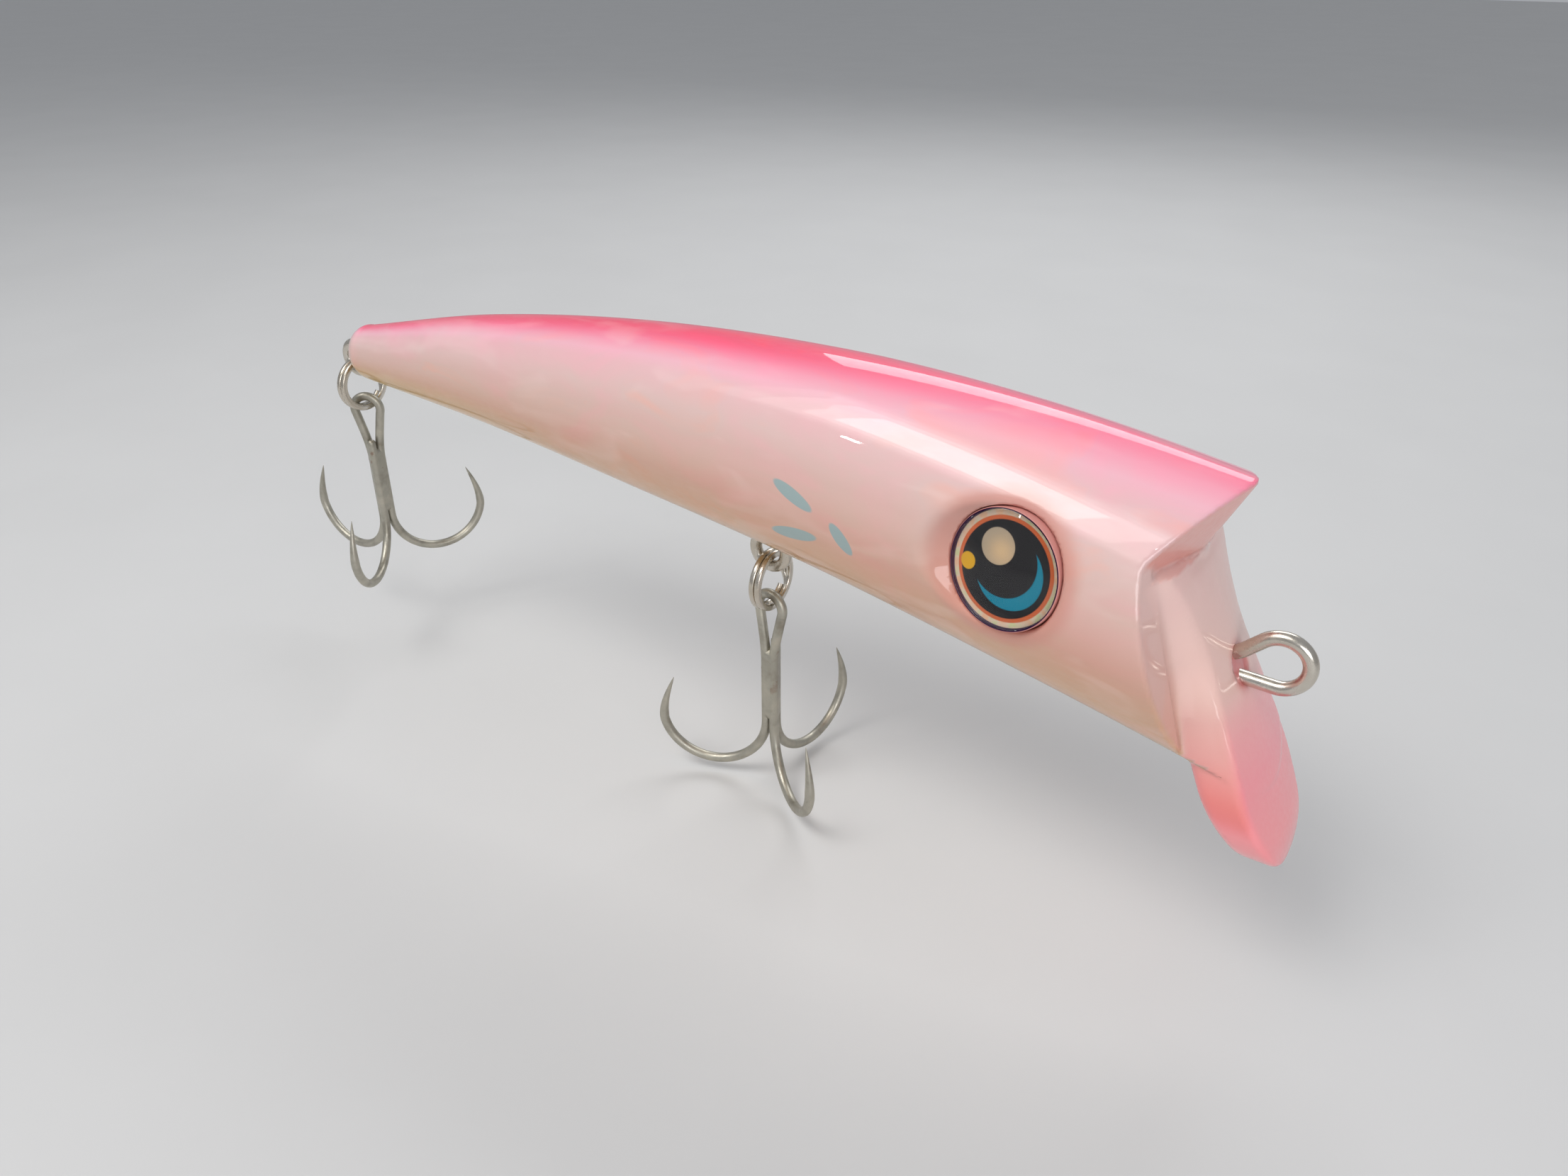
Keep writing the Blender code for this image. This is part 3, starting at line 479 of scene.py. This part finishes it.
def eye_matrix(side):
    """Places a shape turned about Z at the eye's centre, with Z pointing out of the head."""
    centre, along, up, out = eye_axes(side)
    turn = Matrix((along, up, out)).transposed().to_4x4()
    return Matrix.Translation(centre * MM) @ turn


def turned(profile, sides):
    """Rings for a shape turned about Z from (radius, height) pairs."""
    rings = []
    for radius, height in profile:
        ring = []
        for i in range(sides):
            angle = 2 * math.pi * i / sides
            ring.append((radius * math.cos(angle), radius * math.sin(angle), height))
        rings.append(ring)
    return rings


def add_turned(name, profile, matrix, body, material, nodes):
    shape = Shape()
    shape.loft(turned(profile, 96))
    made = add_piece(name, shape.points, shape.faces, body, material, nodes)
    made.matrix_world = matrix
    made.data.set_sharp_from_angle(angle=math.radians(40))
    return made


def make_eyes(print_materials, dome_material):
    """A rimmed printed disc and a clear lens in each socket."""
    for name, side in (("right", -1), ("left", 1)):
        disc = [
            (EYE_R - 0.05, EYE_FLOOR),
            (EYE_R, EYE_FLOOR + 0.05),
            (EYE_R, EYE_RIM_TOP - 0.05),
            (EYE_R - 0.05, EYE_RIM_TOP),
            (LENS_R + 0.07, EYE_RIM_TOP),
            (LENS_R + 0.02, EYE_RIM_TOP - 0.05),
            (LENS_R + 0.02, EYE_PRINT_TOP),
            (EYE_R * 0.5, EYE_PRINT_TOP),
            (0.02, EYE_PRINT_TOP),
        ]
        add_turned(
            "eye_disc_" + name, disc, eye_matrix(side), "body",
            print_materials[name], ["eye_print_" + name],
        )
        base, rim = EYE_PRINT_TOP + 0.03, EYE_RIM_TOP + 0.02
        rise = EYE_DOME_TOP - rim
        sphere = (LENS_R**2 + rise**2) / (2 * rise)
        dome = [(LENS_R - 0.06, base), (LENS_R, base + 0.06), (LENS_R, rim)]
        steps = 22
        for step in range(1, steps + 1):
            angle = math.asin(LENS_R / sphere) * (1 - step / (steps + 0.05))
            dome.append((sphere * math.sin(angle), EYE_DOME_TOP - sphere * (1 - math.cos(angle))))
        made = add_turned(
            "eye_lens_" + name, dome, eye_matrix(side), "body",
            dome_material, ["eye_dome_" + name],
        )
        made.visible_shadow = False


# ---------------------------------------------------------------- wire eyelets


def teardrop(centre, along, neck, loop_r, drop):
    """The path of an eyelet's wire: out of the body, straight to the loop, round it and back in.

    The two wires of the neck leave the body at a distance of neck behind the loop's centre and drop below it.
    """
    along = Vector(along).normalized()
    across = Vector((along.z, 0.0, -along.x))
    turns = []
    for side in (-1, 1):
        off = side * NECK_HALF + drop
        to_exit = math.atan2(off, -neck) % (2 * math.pi)
        turns.append(to_exit - side * math.acos(loop_r / math.hypot(neck, off)))
    start, end = turns[0], turns[1] + 2 * math.pi
    if start > 2 * math.pi:
        start -= 2 * math.pi
    flat = [(-neck - NECK_BURIED, drop - NECK_HALF), (-neck, drop - NECK_HALF)]
    steps = 44
    for i in range(steps + 1):
        angle = start + (end - start) * i / steps
        flat.append((loop_r * math.cos(angle), loop_r * math.sin(angle)))
    flat += [(-neck, drop + NECK_HALF), (-neck - NECK_BURIED, drop + NECK_HALF)]
    return rounded([Vector(centre) + along * u + across * v for u, v in flat])


def make_eyelets(material):
    places = (
        ("line_tie", "line_tie_wire", (0.0, 0.0, 0.0), (1.0, 0.0, 0.0), TIE_FLARE, TIE_LOOP_R, TIE_DROP),
        ("belly_hanger", "belly_hanger_wire", BELLY_LOOP, (0.0, 0.0, -1.0), BELLY_FLARE, BELLY_LOOP_R, 0.0),
        ("tail_hanger", "tail_hanger_wire", TAIL_LOOP, (-1.0, 0.0, -0.2), TAIL_FLARE, TAIL_LOOP_R, 0.0),
    )
    for node, name, centre, along, neck, loop_r, drop in places:
        shape = Shape()
        path = teardrop(centre, along, neck, loop_r, drop)
        shape.tube(path, [WIRE / 2] * len(path), 24)
        add_piece(name, shape.points, shape.faces, "body", material, [node])


# ---------------------------------------------------------------- split rings


def ring_drop():
    """How far a split ring's centre hangs below the bottom of its loop's wire."""
    return (RING_OD - RING_RADIAL) / 2 - (WIRE / 2 + RING_RADIAL / 2 + CLEAR)


def make_ring(name, node, body, hanger, material):
    """Two turns of flattened wire, side by side, that cross over in one short bend."""
    centre = Vector(hanger) - Vector((0.0, 0.0, ring_drop()))
    middle_r = (RING_OD - RING_RADIAL) / 2
    half_x, half_r = RING_AXIAL / 4 - 0.015, RING_RADIAL / 2
    turns, steps, sides = 2, 260, 16
    rings = []
    for i in range(steps + 1):
        angle = 2 * math.pi * turns * i / steps - 0.02
        share = min(1.0, max(0.0, (angle - (2 * math.pi - RING_CROSS)) / RING_CROSS))
        shift = (share * share * (3 - 2 * share) - 0.5) * RING_AXIAL / 2
        ring = []
        for j in range(sides):
            around = 2 * math.pi * j / sides
            c, s = math.cos(around), math.sin(around)
            x = half_x * math.copysign(abs(c) ** 0.55, c)
            r = half_r * math.copysign(abs(s) ** 0.75, s)
            turn = angle + RING_START
            ring.append(
                (
                    centre.x + shift + x,
                    (middle_r + r) * math.sin(turn),
                    centre.z + (middle_r + r) * math.cos(turn),
                )
            )
        rings.append(ring)
    shape = Shape()
    shape.loft(rings)
    shape.faces = [face[::-1] for face in shape.faces]
    made = add_piece(name, shape.points, shape.faces, body, material, [node])
    made.data.set_sharp_from_angle(angle=math.radians(60))


# ---------------------------------------------------------------- treble hooks


def prong(azimuth, shank_r):
    """Centre line and radius of one bend and point, from the foot of the shank."""
    out = Vector((math.cos(azimuth), math.sin(azimuth), 0.0))
    up = Vector((0.0, 0.0, 1.0))
    bend_z = -HOOK_LENGTH + HOOK_WIRE / 2 + HOOK_BEND_R
    middle_r = shank_r + HOOK_BEND_R
    points = []
    steps = 34
    for i in range(steps + 1):
        angle = math.pi + HOOK_BEND_ANGLE * i / steps
        sideways, height = middle_r + HOOK_BEND_R * math.cos(angle), bend_z + HOOK_BEND_R * math.sin(angle)
        points.append(out * sideways + up * height)
    tip = out * (middle_r + HOOK_BEND_R - HOOK_TIP_IN) + up * (-HOOK_LENGTH + HOOK_TIP_RISE)
    last = points[-1]
    for i in range(1, 19):
        share = i / 18
        points.append(last.lerp(tip, share) + out * HOOK_TIP_BOW * math.sin(math.pi * share**0.8))
    radii = []
    for point in points:
        left = (tip - point).length
        radii.append(HOOK_WIRE / 2 * max(0.045, min(1.0, left / HOOK_TIP_LENGTH) ** 0.72))
    return points, radii


def make_treble(name, node, body, pivot, turn, material):
    """Three hooks brazed along one shank, two of them made from the wire that forms the eye."""
    shape = Shape()
    shank_r = HOOK_WIRE / 2 / math.cos(math.pi / 6) + 0.03
    top = -HOOK_BRAZE_TOP
    azimuths = [math.radians(angle) for angle in (210, 330, 90)]
    feet = [Vector((shank_r * math.cos(a), shank_r * math.sin(a), 0.0)) for a in azimuths]
    up = Vector((0.0, 0.0, 1.0))
    eye = []
    eye_z = -HOOK_WIRE / 2 - HOOK_EYE_R
    steps = 40
    for i in range(steps + 1):
        angle = math.radians(200 - 220 * i / steps)
        sideways, height = HOOK_EYE_R * math.cos(angle), eye_z + HOOK_EYE_R * math.sin(angle)
        eye.append(Vector((sideways, feet[0].y * 0.3, height)))
    left, left_r = prong(azimuths[0], shank_r)
    right, right_r = prong(azimuths[1], shank_r)
    left_leg = [feet[0] + up * (top - 3.0), feet[0] + up * (top - 0.2)]
    right_leg = [feet[1] + up * (top - 0.2), feet[1] + up * (top - 3.0)]
    middle = rounded(left_leg + eye + right_leg, 3)
    path = list(reversed(left)) + middle + right
    radii = list(reversed(left_r)) + [HOOK_WIRE / 2] * len(middle) + right_r
    shape.tube(path, radii, 18)

    single, single_r = prong(azimuths[2], shank_r)
    lead = [feet[2] + up * (top + 0.5), feet[2] + up * (top - 1.0), feet[2] + up * (top - 5.0)]
    shape.tube(lead + single, [HOOK_WIRE / 2] * 3 + single_r, 18)

    low = -HOOK_LENGTH + HOOK_WIRE / 2 + HOOK_BEND_R
    rings = []
    steps, sides = 26, 36
    for i in range(steps + 1):
        share = i / steps
        height = top - 0.1 + (low - top + 0.5) * share
        end = math.sin(math.pi / 2 * min(1.0, min(share, 1 - share) / 0.06))
        ring = []
        for j in range(sides):
            angle = 2 * math.pi * j / sides
            lobe = 0.5 + 0.5 * math.cos(3 * (angle - math.radians(90)))
            radius = shank_r + HOOK_WIRE / 2 * (0.34 + 0.5 * lobe)
            ring.append((radius * end * math.cos(angle), radius * end * math.sin(angle), height))
        rings.append(ring)
    first = len(shape.faces)
    shape.loft(rings)
    shape.faces[first:] = [face[::-1] for face in shape.faces[first:]]

    lift = Vector(pivot) + up * (RING_RADIAL / 2 + CLEAR + HOOK_WIRE)
    place = Matrix.Translation(lift) @ Matrix.Rotation(turn, 4, "Z")
    points = [place @ Vector(point) for point in shape.points]
    made = add_piece(name, points, shape.faces, body, material, [node])
    set_values(made.data, "braze", np.array([braze_mark(point[2]) for point in shape.points]))


def braze_mark(height):
    """1 round the top of the brazed shank and fading away from it."""
    return max(0.0, 1.0 - abs(height + HOOK_BRAZE_TOP + 1.6) / 2.6)


def make_hardware(stainless, hook_steel):
    make_eyelets(stainless)
    places = (
        ("belly", Vector(BELLY_LOOP) - Vector((0.0, 0.0, BELLY_LOOP_R)), BELLY_TREBLE_TURN),
        ("tail", Vector(TAIL_LOOP) - Vector((0.0, 0.0, TAIL_LOOP_R)), TAIL_TREBLE_TURN),
    )
    for where, hanger, turn in places:
        make_ring(where + "_ring_coils", where + "_split_ring", where + "_ring", hanger, stainless)
        pivot = hanger - Vector((0.0, 0.0, ring_drop() + (RING_OD - RING_RADIAL) / 2))
        make_treble(where + "_hooks", where + "_treble", where + "_hook", pivot, turn, hook_steel)


# ---------------------------------------------------------------- materials


class Paint:
    """A node material under construction, with short calls for the nodes used here."""

    def __init__(self, name):
        self.material = bpy.data.materials.new(name)
        self.material.use_nodes = True
        self.tree = self.material.node_tree
        self.shader = self.tree.nodes["Principled BSDF"]

    def node(self, kind, **settings):
        made = self.tree.nodes.new(kind)
        for key, value in settings.items():
            setattr(made, key, value)
        return made

    def link(self, source, target):
        self.tree.links.new(source, target)

    def feed(self, socket, value):
        """Links a socket, or sets it to a number or a colour."""
        if isinstance(value, bpy.types.NodeSocket):
            self.link(value, socket)
        else:
            socket.default_value = value

    def math(self, operation, a, b=0.0):
        made = self.node("ShaderNodeMath", operation=operation)
        self.feed(made.inputs[0], a)
        self.feed(made.inputs[1], b)
        return made.outputs[0]

    def mix(self, factor, a, b, blend="MIX"):
        made = self.node("ShaderNodeMix", data_type="RGBA", blend_type=blend)
        self.feed(made.inputs["Factor"], factor)
        self.feed(made.inputs[6], a)
        self.feed(made.inputs[7], b)
        return made.outputs[2]

    def ramp(self, value, stops):
        made = self.node("ShaderNodeValToRGB")
        elements = made.color_ramp.elements
        while len(elements) < len(stops):
            elements.new(0.5)
        for element, (position, colour) in zip(elements, stops):
            element.position, element.color = position, colour
        self.feed(made.inputs[0], value)
        return made.outputs[0]

    def span(self, value, low, high, to_low=0.0, to_high=1.0, smooth=True):
        """Maps low..high to to_low..to_high, held flat beyond them."""
        made = self.node("ShaderNodeMapRange", interpolation_type="SMOOTHSTEP" if smooth else "LINEAR")
        for socket, number in zip(made.inputs[:5], (value, low, high, to_low, to_high)):
            self.feed(socket, number)
        return made.outputs[0]

    def value(self, name):
        """One of the numbers kept on the mesh by set_values."""
        return self.node("ShaderNodeAttribute", attribute_name=name).outputs["Fac"]

    def places(self, scale=(1000.0, 1000.0, 1000.0)):
        """Object coordinates in millimetres, stretched as asked."""
        source = self.node("ShaderNodeTexCoord").outputs["Object"]
        made = self.node("ShaderNodeVectorMath", operation="MULTIPLY")
        self.link(source, made.inputs[0])
        made.inputs[1].default_value = scale
        return made.outputs[0]

    def noise(self, vector, scale, detail=3.0, roughness=0.5, distortion=0.0):
        made = self.node("ShaderNodeTexNoise")
        self.link(vector, made.inputs["Vector"])
        made.inputs["Scale"].default_value = scale
        made.inputs["Detail"].default_value = detail
        made.inputs["Roughness"].default_value = roughness
        made.inputs["Distortion"].default_value = distortion
        return made.outputs["Fac"]

    def bump(self, height, strength, distance):
        made = self.node("ShaderNodeBump")
        made.inputs["Strength"].default_value = strength
        made.inputs["Distance"].default_value = distance
        self.link(height, made.inputs["Height"])
        self.link(made.outputs["Normal"], self.shader.inputs["Normal"])

    def set(self, **values):
        for key, value in values.items():
            self.feed(self.shader.inputs[key.replace("_", " ")], value)


def grey(value):
    return (value, value, value, 1.0)


# Petal marks on the flanks: X, Z, half length, half width, turn in degrees
MARKS = ((-36.7, 7.0, 2.1, 0.62, -24.0), (-36.9, 3.35, 2.4, 0.62, 9.0), (-32.1, 4.45, 1.55, 0.62, -52.0))


def body_paint():
    """Pearl flanks between a hot pink back and a tan belly, with other tones in the mouth and on the lip, and
    painted shade on the roof of the mouth.
    """
    paint = Paint("pearl_clear_coat")
    rise = paint.value("rise")
    flank = paint.ramp(
        paint.span(rise, -1.0, 1.0, smooth=False),
        (
            (0.0, linear(214, 176, 120)),
            (0.16, linear(222, 174, 134)),
            (0.38, linear(214, 169, 150)),
            (0.55, linear(218, 183, 173)),
            (0.74, linear(226, 194, 192)),
            (0.86, linear(236, 190, 197)),
            (0.905, linear(246, 188, 205)),
            (0.94, linear(250, 166, 190)),
            (0.965, linear(252, 131, 163)),
            (0.985, linear(252, 94, 132)),
            (1.0, linear(252, 64, 108)),
        ),
    )
    long_streaks = paint.noise(paint.places((110.0, 330.0, 330.0)), 1.0, 2.0, 0.45, 0.7)
    blotches = paint.noise(paint.places((90.0, 180.0, 180.0)), 1.0, 3.0, 0.55, 0.8)
    fine = paint.noise(paint.places((900.0, 2600.0, 2600.0)), 1.0, 2.0, 0.5)
    shimmer = paint.ramp(
        blotches,
        (
            (0.3, linear(255, 226, 230)),
            (0.46, linear(244, 234, 228)),
            (0.56, linear(240, 238, 230)),
            (0.7, linear(255, 226, 208)),
        ),
    )
    colour = paint.mix(0.6, flank, shimmer, "MULTIPLY")
    colour = paint.mix(paint.span(long_streaks, 0.5, 0.75, 0.0, 0.14), colour, linear(255, 236, 230))
    x_mm = paint.node("ShaderNodeSeparateXYZ")
    paint.link(paint.places(), x_mm.inputs[0])
    rear, low = paint.span(x_mm.outputs["X"], -55.0, -99.0), paint.span(rise, 0.1, -0.9)
    yellow = paint.math("MULTIPLY", paint.math("MULTIPLY", rear, low), 0.55)
    colour = paint.mix(yellow, colour, linear(206, 178, 84))
    inside = paint.mix(paint.span(x_mm.outputs["Z"], 8.0, -6.0), linear(236, 194, 186), linear(226, 168, 154))
    colour = paint.mix(paint.math("MULTIPLY", paint.value("hollow"), 0.8), colour, inside)
    colour = paint.mix(paint.math("MULTIPLY", paint.value("tongue"), 0.75), colour, linear(248, 208, 200))
    front = paint.ramp(
        paint.value("lip"),
        (
            (0.0, linear(244, 198, 188)),
            (0.3, linear(252, 168, 170)),
            (0.6, linear(255, 152, 160)),
            (1.0, linear(255, 152, 156)),
        ),
    )
    side = paint.ramp(
        paint.value("lip"),
        (
            (0.0, linear(228, 184, 174)),
            (0.4, linear(230, 161, 154)),
            (0.7, linear(234, 131, 124)),
            (1.0, linear(240, 102, 100)),
        ),
    )
    lip_colour = paint.mix(paint.span(paint.value("flank"), 0.9, 1.02), front, side)
    colour = paint.mix(paint.span(paint.value("lip"), 0.0, 0.2), colour, lip_colour)
    # Painted shade: the roof of the mouth is an underside, so it is painted a darker pinkish brown
    colour = paint.mix(paint.math("MULTIPLY", paint.value("roof"), 0.8), colour, linear(230, 150, 138))
    colour = paint.mix(paint.math("MULTIPLY", paint.value("socket"), 0.75), colour, linear(206, 141, 126))
    colour = paint.mix(paint.math("MULTIPLY", paint.value("seat"), 0.8), colour, linear(208, 84, 88))
    colour = petal_marks(paint, colour, x_mm)
    paint.set(Base_Color=colour, Metallic=0.0, IOR=1.5, Specular_IOR_Level=0.3)
    paint.set(Roughness=paint.span(fine, 0.3, 0.7, 0.42, 0.55))
    paint.set(Coat_Weight=0.9, Coat_Roughness=0.03, Coat_IOR=1.5)
    return paint.material


def petal_marks(paint, colour, x_mm):
    """Three plain pale blue petals low on each flank."""
    for x, z, half_length, half_width, turn in MARKS:
        c, s = math.cos(math.radians(turn)), math.sin(math.radians(turn))
        dx = paint.math("SUBTRACT", x_mm.outputs["X"], x)
        dz = paint.math("SUBTRACT", x_mm.outputs["Z"], z)
        along = paint.math("ADD", paint.math("MULTIPLY", dx, c), paint.math("MULTIPLY", dz, s))
        across = paint.math("SUBTRACT", paint.math("MULTIPLY", dz, c), paint.math("MULTIPLY", dx, s))
        along = paint.math("POWER", paint.math("ABSOLUTE", paint.math("DIVIDE", along, half_length)), 2.0)
        across = paint.math("POWER", paint.math("ABSOLUTE", paint.math("DIVIDE", across, half_width)), 2.0)
        mask = paint.span(paint.math("ADD", along, across), 1.12, 0.8, 0.0, 0.85)
        colour = paint.mix(mask, colour, linear(134, 168, 170))
    return colour


def eye_paint(name):
    """A printed doll eye: dark rim, cream and orange rings, a black pupil and three highlights."""
    paint = Paint(name)
    place = paint.node("ShaderNodeSeparateXYZ")
    paint.link(paint.places((1000.0 / EYE_R,) * 3), place.inputs[0])
    u, v = place.outputs["X"], place.outputs["Y"]

    def distance(from_u, from_v):
        du, dv = paint.math("SUBTRACT", u, from_u), paint.math("SUBTRACT", v, from_v)
        squares = paint.math("ADD", paint.math("MULTIPLY", du, du), paint.math("MULTIPLY", dv, dv))
        return paint.math("SQRT", squares)

    radius = distance(0.0, 0.0)
    black, rim = linear(14, 12, 15), linear(50, 26, 58)
    orange, cream = linear(190, 92, 50), linear(186, 158, 132)
    stops = ((0.0, black), (0.755, black), (0.77, orange), (0.82, orange), (0.835, cream), (0.915, cream))
    colour = paint.ramp(radius, (*stops, (0.93, rim), (0.984, rim), (0.993, linear(214, 150, 142))))
    foil = paint.noise(paint.places((1100.0, 1100.0, 1100.0)), 1.0, 3.0)
    ring = paint.math("MULTIPLY", paint.span(radius, 0.825, 0.84), paint.span(radius, 0.925, 0.91))
    warm, pale, green = linear(226, 176, 140), linear(214, 196, 176), linear(190, 204, 150)
    sheen = paint.ramp(foil, ((0.35, warm), (0.5, pale), (0.62, green)))
    colour = paint.mix(paint.math("MULTIPLY", ring, 0.65), colour, sheen)
    within = paint.span(distance(0.09, -0.04), 0.575, 0.555)
    beyond = paint.span(distance(-0.04, 0.12), 0.555, 0.575)
    crescent = paint.math("MULTIPLY", within, beyond)
    colour = paint.mix(crescent, colour, linear(0, 116, 140))
    spot = paint.span(distance(-0.18, 0.31), 0.295, 0.275)
    from_glow = paint.span(distance(-0.10, 0.24), 0.0, 0.36)
    glow = paint.mix(from_glow, linear(196, 166, 128), linear(160, 144, 122))
    colour = paint.mix(spot, colour, glow)
    dot = paint.span(distance(-0.64, -0.08), 0.145, 0.125)
    colour = paint.mix(dot, colour, linear(200, 150, 8))
    paint.set(Base_Color=colour, Roughness=0.6, Metallic=0.0, Specular_IOR_Level=0.0)
    return paint.material


def clear_epoxy():
    paint = Paint("clear_epoxy_dome")
    wave = paint.noise(paint.places((300.0, 300.0, 300.0)), 1.0, 1.0)
    paint.set(Base_Color=(1.0, 1.0, 1.0, 1.0), Roughness=0.0, Transmission_Weight=1.0, IOR=1.34)
    paint.bump(wave, 0.04, 0.0004)
    return paint.material


def stainless_wire():
    paint = Paint("drawn_stainless")
    scratches = paint.noise(paint.places((900.0, 900.0, 900.0)), 1.0, 5.0, 0.65)
    tarnish = paint.noise(paint.places((250.0, 250.0, 250.0)), 1.0, 3.0)
    dull, bright, brown = linear(196, 186, 170), linear(214, 208, 198), linear(188, 172, 150)
    colour = paint.ramp(tarnish, ((0.3, dull), (0.6, bright), (0.8, brown)))
    paint.set(Base_Color=colour, Metallic=1.0, Roughness=paint.span(scratches, 0.3, 0.7, 0.16, 0.34))
    paint.bump(scratches, 0.12, 0.00005)
    return paint.material


def hook_steel_paint():
    paint = Paint("tinned_hook_wire")
    grain = paint.noise(paint.places((1400.0, 1400.0, 1400.0)), 1.0, 6.0, 0.7)
    patches = paint.noise(paint.places((420.0, 420.0, 420.0)), 1.0, 4.0, 0.6, 0.4)
    dark, middle, light = linear(150, 145, 132), linear(176, 172, 160), linear(192, 187, 172)
    colour = paint.ramp(patches, ((0.3, dark), (0.5, middle), (0.72, light)))
    solder = paint.math("MULTIPLY", paint.value("braze"), paint.span(patches, 0.35, 0.6))
    colour = paint.mix(paint.math("MULTIPLY", solder, 0.5), colour, linear(150, 148, 136))
    spots = paint.span(paint.noise(paint.places((700.0,) * 3), 1.0, 4.0, 0.6), 0.57, 0.68)
    rust = paint.math("MULTIPLY", paint.value("braze"), spots)
    colour = paint.mix(paint.math("MULTIPLY", rust, 0.85), colour, linear(120, 70, 34))
    paint.set(Base_Color=colour, Metallic=0.85, Roughness=paint.span(grain, 0.3, 0.7, 0.34, 0.52))
    paint.bump(grain, 0.2, 0.00006)
    return paint.material


def plain_finish(name, light, dark, metallic, low, high, scale):
    """A finish for the pieces sealed inside, with cloudy colour and roughness."""
    paint = Paint(name)
    cloud = paint.noise(paint.places((scale,) * 3), 1.0, 5.0, 0.6)
    paint.set(Base_Color=paint.mix(paint.span(cloud, 0.3, 0.7), dark, light), Metallic=metallic)
    paint.set(Roughness=paint.span(cloud, 0.3, 0.7, low, high))
    paint.bump(cloud, 0.1, 0.0001)
    return paint.material


def finish_inside():
    """Finishes for the CAD pieces that stay as they are, sealed inside the body."""
    lead_tones = linear(120, 120, 124), linear(84, 84, 90)
    plastic_tones = linear(232, 232, 226), linear(214, 214, 206)
    steel_tones = linear(200, 200, 200), linear(186, 186, 188)
    lead = plain_finish("ballast_metal", *lead_tones, 1.0, 0.42, 0.62, 500.0)
    plastic = plain_finish("tube_plastic", *plastic_tones, 0.0, 0.25, 0.4, 200.0)
    steel = plain_finish("ball_steel", *steel_tones, 1.0, 0.08, 0.16, 900.0)
    finishes = (("ballast", lead), ("rattle_ball", steel), ("rattle_tube", plastic), ("rattle_plug", plastic))
    for node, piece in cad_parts.items():
        for part, material in finishes:
            if part in node:
                piece.data.materials.clear()
                piece.data.materials.append(material)


# ---------------------------------------------------------------- stage


def area_light(name, place, aim, size, power, colour):
    data = bpy.data.lights.new(name, "AREA")
    data.shape = "RECTANGLE"
    data.size, data.size_y = size
    data.energy = power
    data.color = colour
    made = bpy.data.objects.new(name, data)
    made.location = place
    made.rotation_euler = (Vector(aim) - Vector(place)).to_track_quat("-Z", "Y").to_euler()
    bpy.context.scene.collection.objects.link(made)


def make_floor(height):
    mesh = bpy.data.meshes.new("floor")
    half = 1.5
    corners = [(-half, -half, height), (half, -half, height), (half, half, height), (-half, half, height)]
    mesh.from_pydata(corners, [], [(0, 1, 2, 3)])
    paint = Paint("pale_floor")
    grain = paint.noise(paint.places((40.0, 40.0, 40.0)), 1.0, 4.0)
    paint.set(Base_Color=paint.mix(grain, grey(0.60), grey(0.64)), Roughness=0.7)
    mesh.materials.append(paint.material)
    floor = bpy.data.objects.new("floor", mesh)
    bpy.context.scene.collection.objects.link(floor)


def make_camera():
    data = bpy.data.cameras.new("camera")
    data.sensor_width, data.lens = SENSOR_MM, LENS_MM
    data.clip_start, data.clip_end = 0.001, 10.0
    camera = bpy.data.objects.new("camera", data)
    right, up = Vector(CAMERA_RIGHT), Vector(CAMERA_UP)
    turn = Matrix((right, up, right.cross(up))).transposed().to_4x4()
    camera.matrix_world = Matrix.Translation(Vector(CAMERA_MM) * MM) @ turn
    bpy.context.scene.collection.objects.link(camera)
    bpy.context.scene.camera = camera


def make_lights():
    """A pale surround, a soft key from above the tail, a fill at the nose, a back light and two glints."""
    world = bpy.data.worlds.new("studio")
    world.use_nodes = True
    background = world.node_tree.nodes["Background"]
    background.inputs["Color"].default_value = (0.92, 0.95, 1.0, 1.0)
    background.inputs["Strength"].default_value = 0.4
    bpy.context.scene.world = world
    bpy.context.scene.view_settings.view_transform = "Standard"
    middle, warm_white = (-0.05, 0.0, 0.0), (1.0, 0.98, 0.95)
    power = KEY_POWER / len(KEY_SIZES)
    for step, size in enumerate(KEY_SIZES):
        place = (-0.14, -0.20 - 0.001 * step, 0.34 - 0.001 * step)
        area_light("key_%d" % step, place, middle, (size, 0.7 * size), power, warm_white)
    area_light("fill", (0.24, -0.26, 0.12), middle, (0.22, 0.16), 0.48, (0.97, 0.98, 1.0))
    area_light("back", (-0.10, 0.30, 0.26), middle, (0.30, 0.14), 0.5, (1.0, 1.0, 1.0))
    area_light("glint_rear", (-0.20, -0.24, 0.22), middle, (0.010, 0.010), 0.02, (1.0, 1.0, 1.0))
    area_light("glint_front", (0.02, -0.22, 0.28), middle, (0.012, 0.008), 0.02, (1.0, 1.0, 1.0))


def main():
    make_camera()
    make_lights()
    make_body(body_paint())
    make_eyes({"right": eye_paint("eye_print_right"), "left": eye_paint("eye_print_left")}, clear_epoxy())
    make_hardware(stainless_wire(), hook_steel_paint())
    finish_inside()
    low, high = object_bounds()
    make_floor(low.z - 0.001)


main()
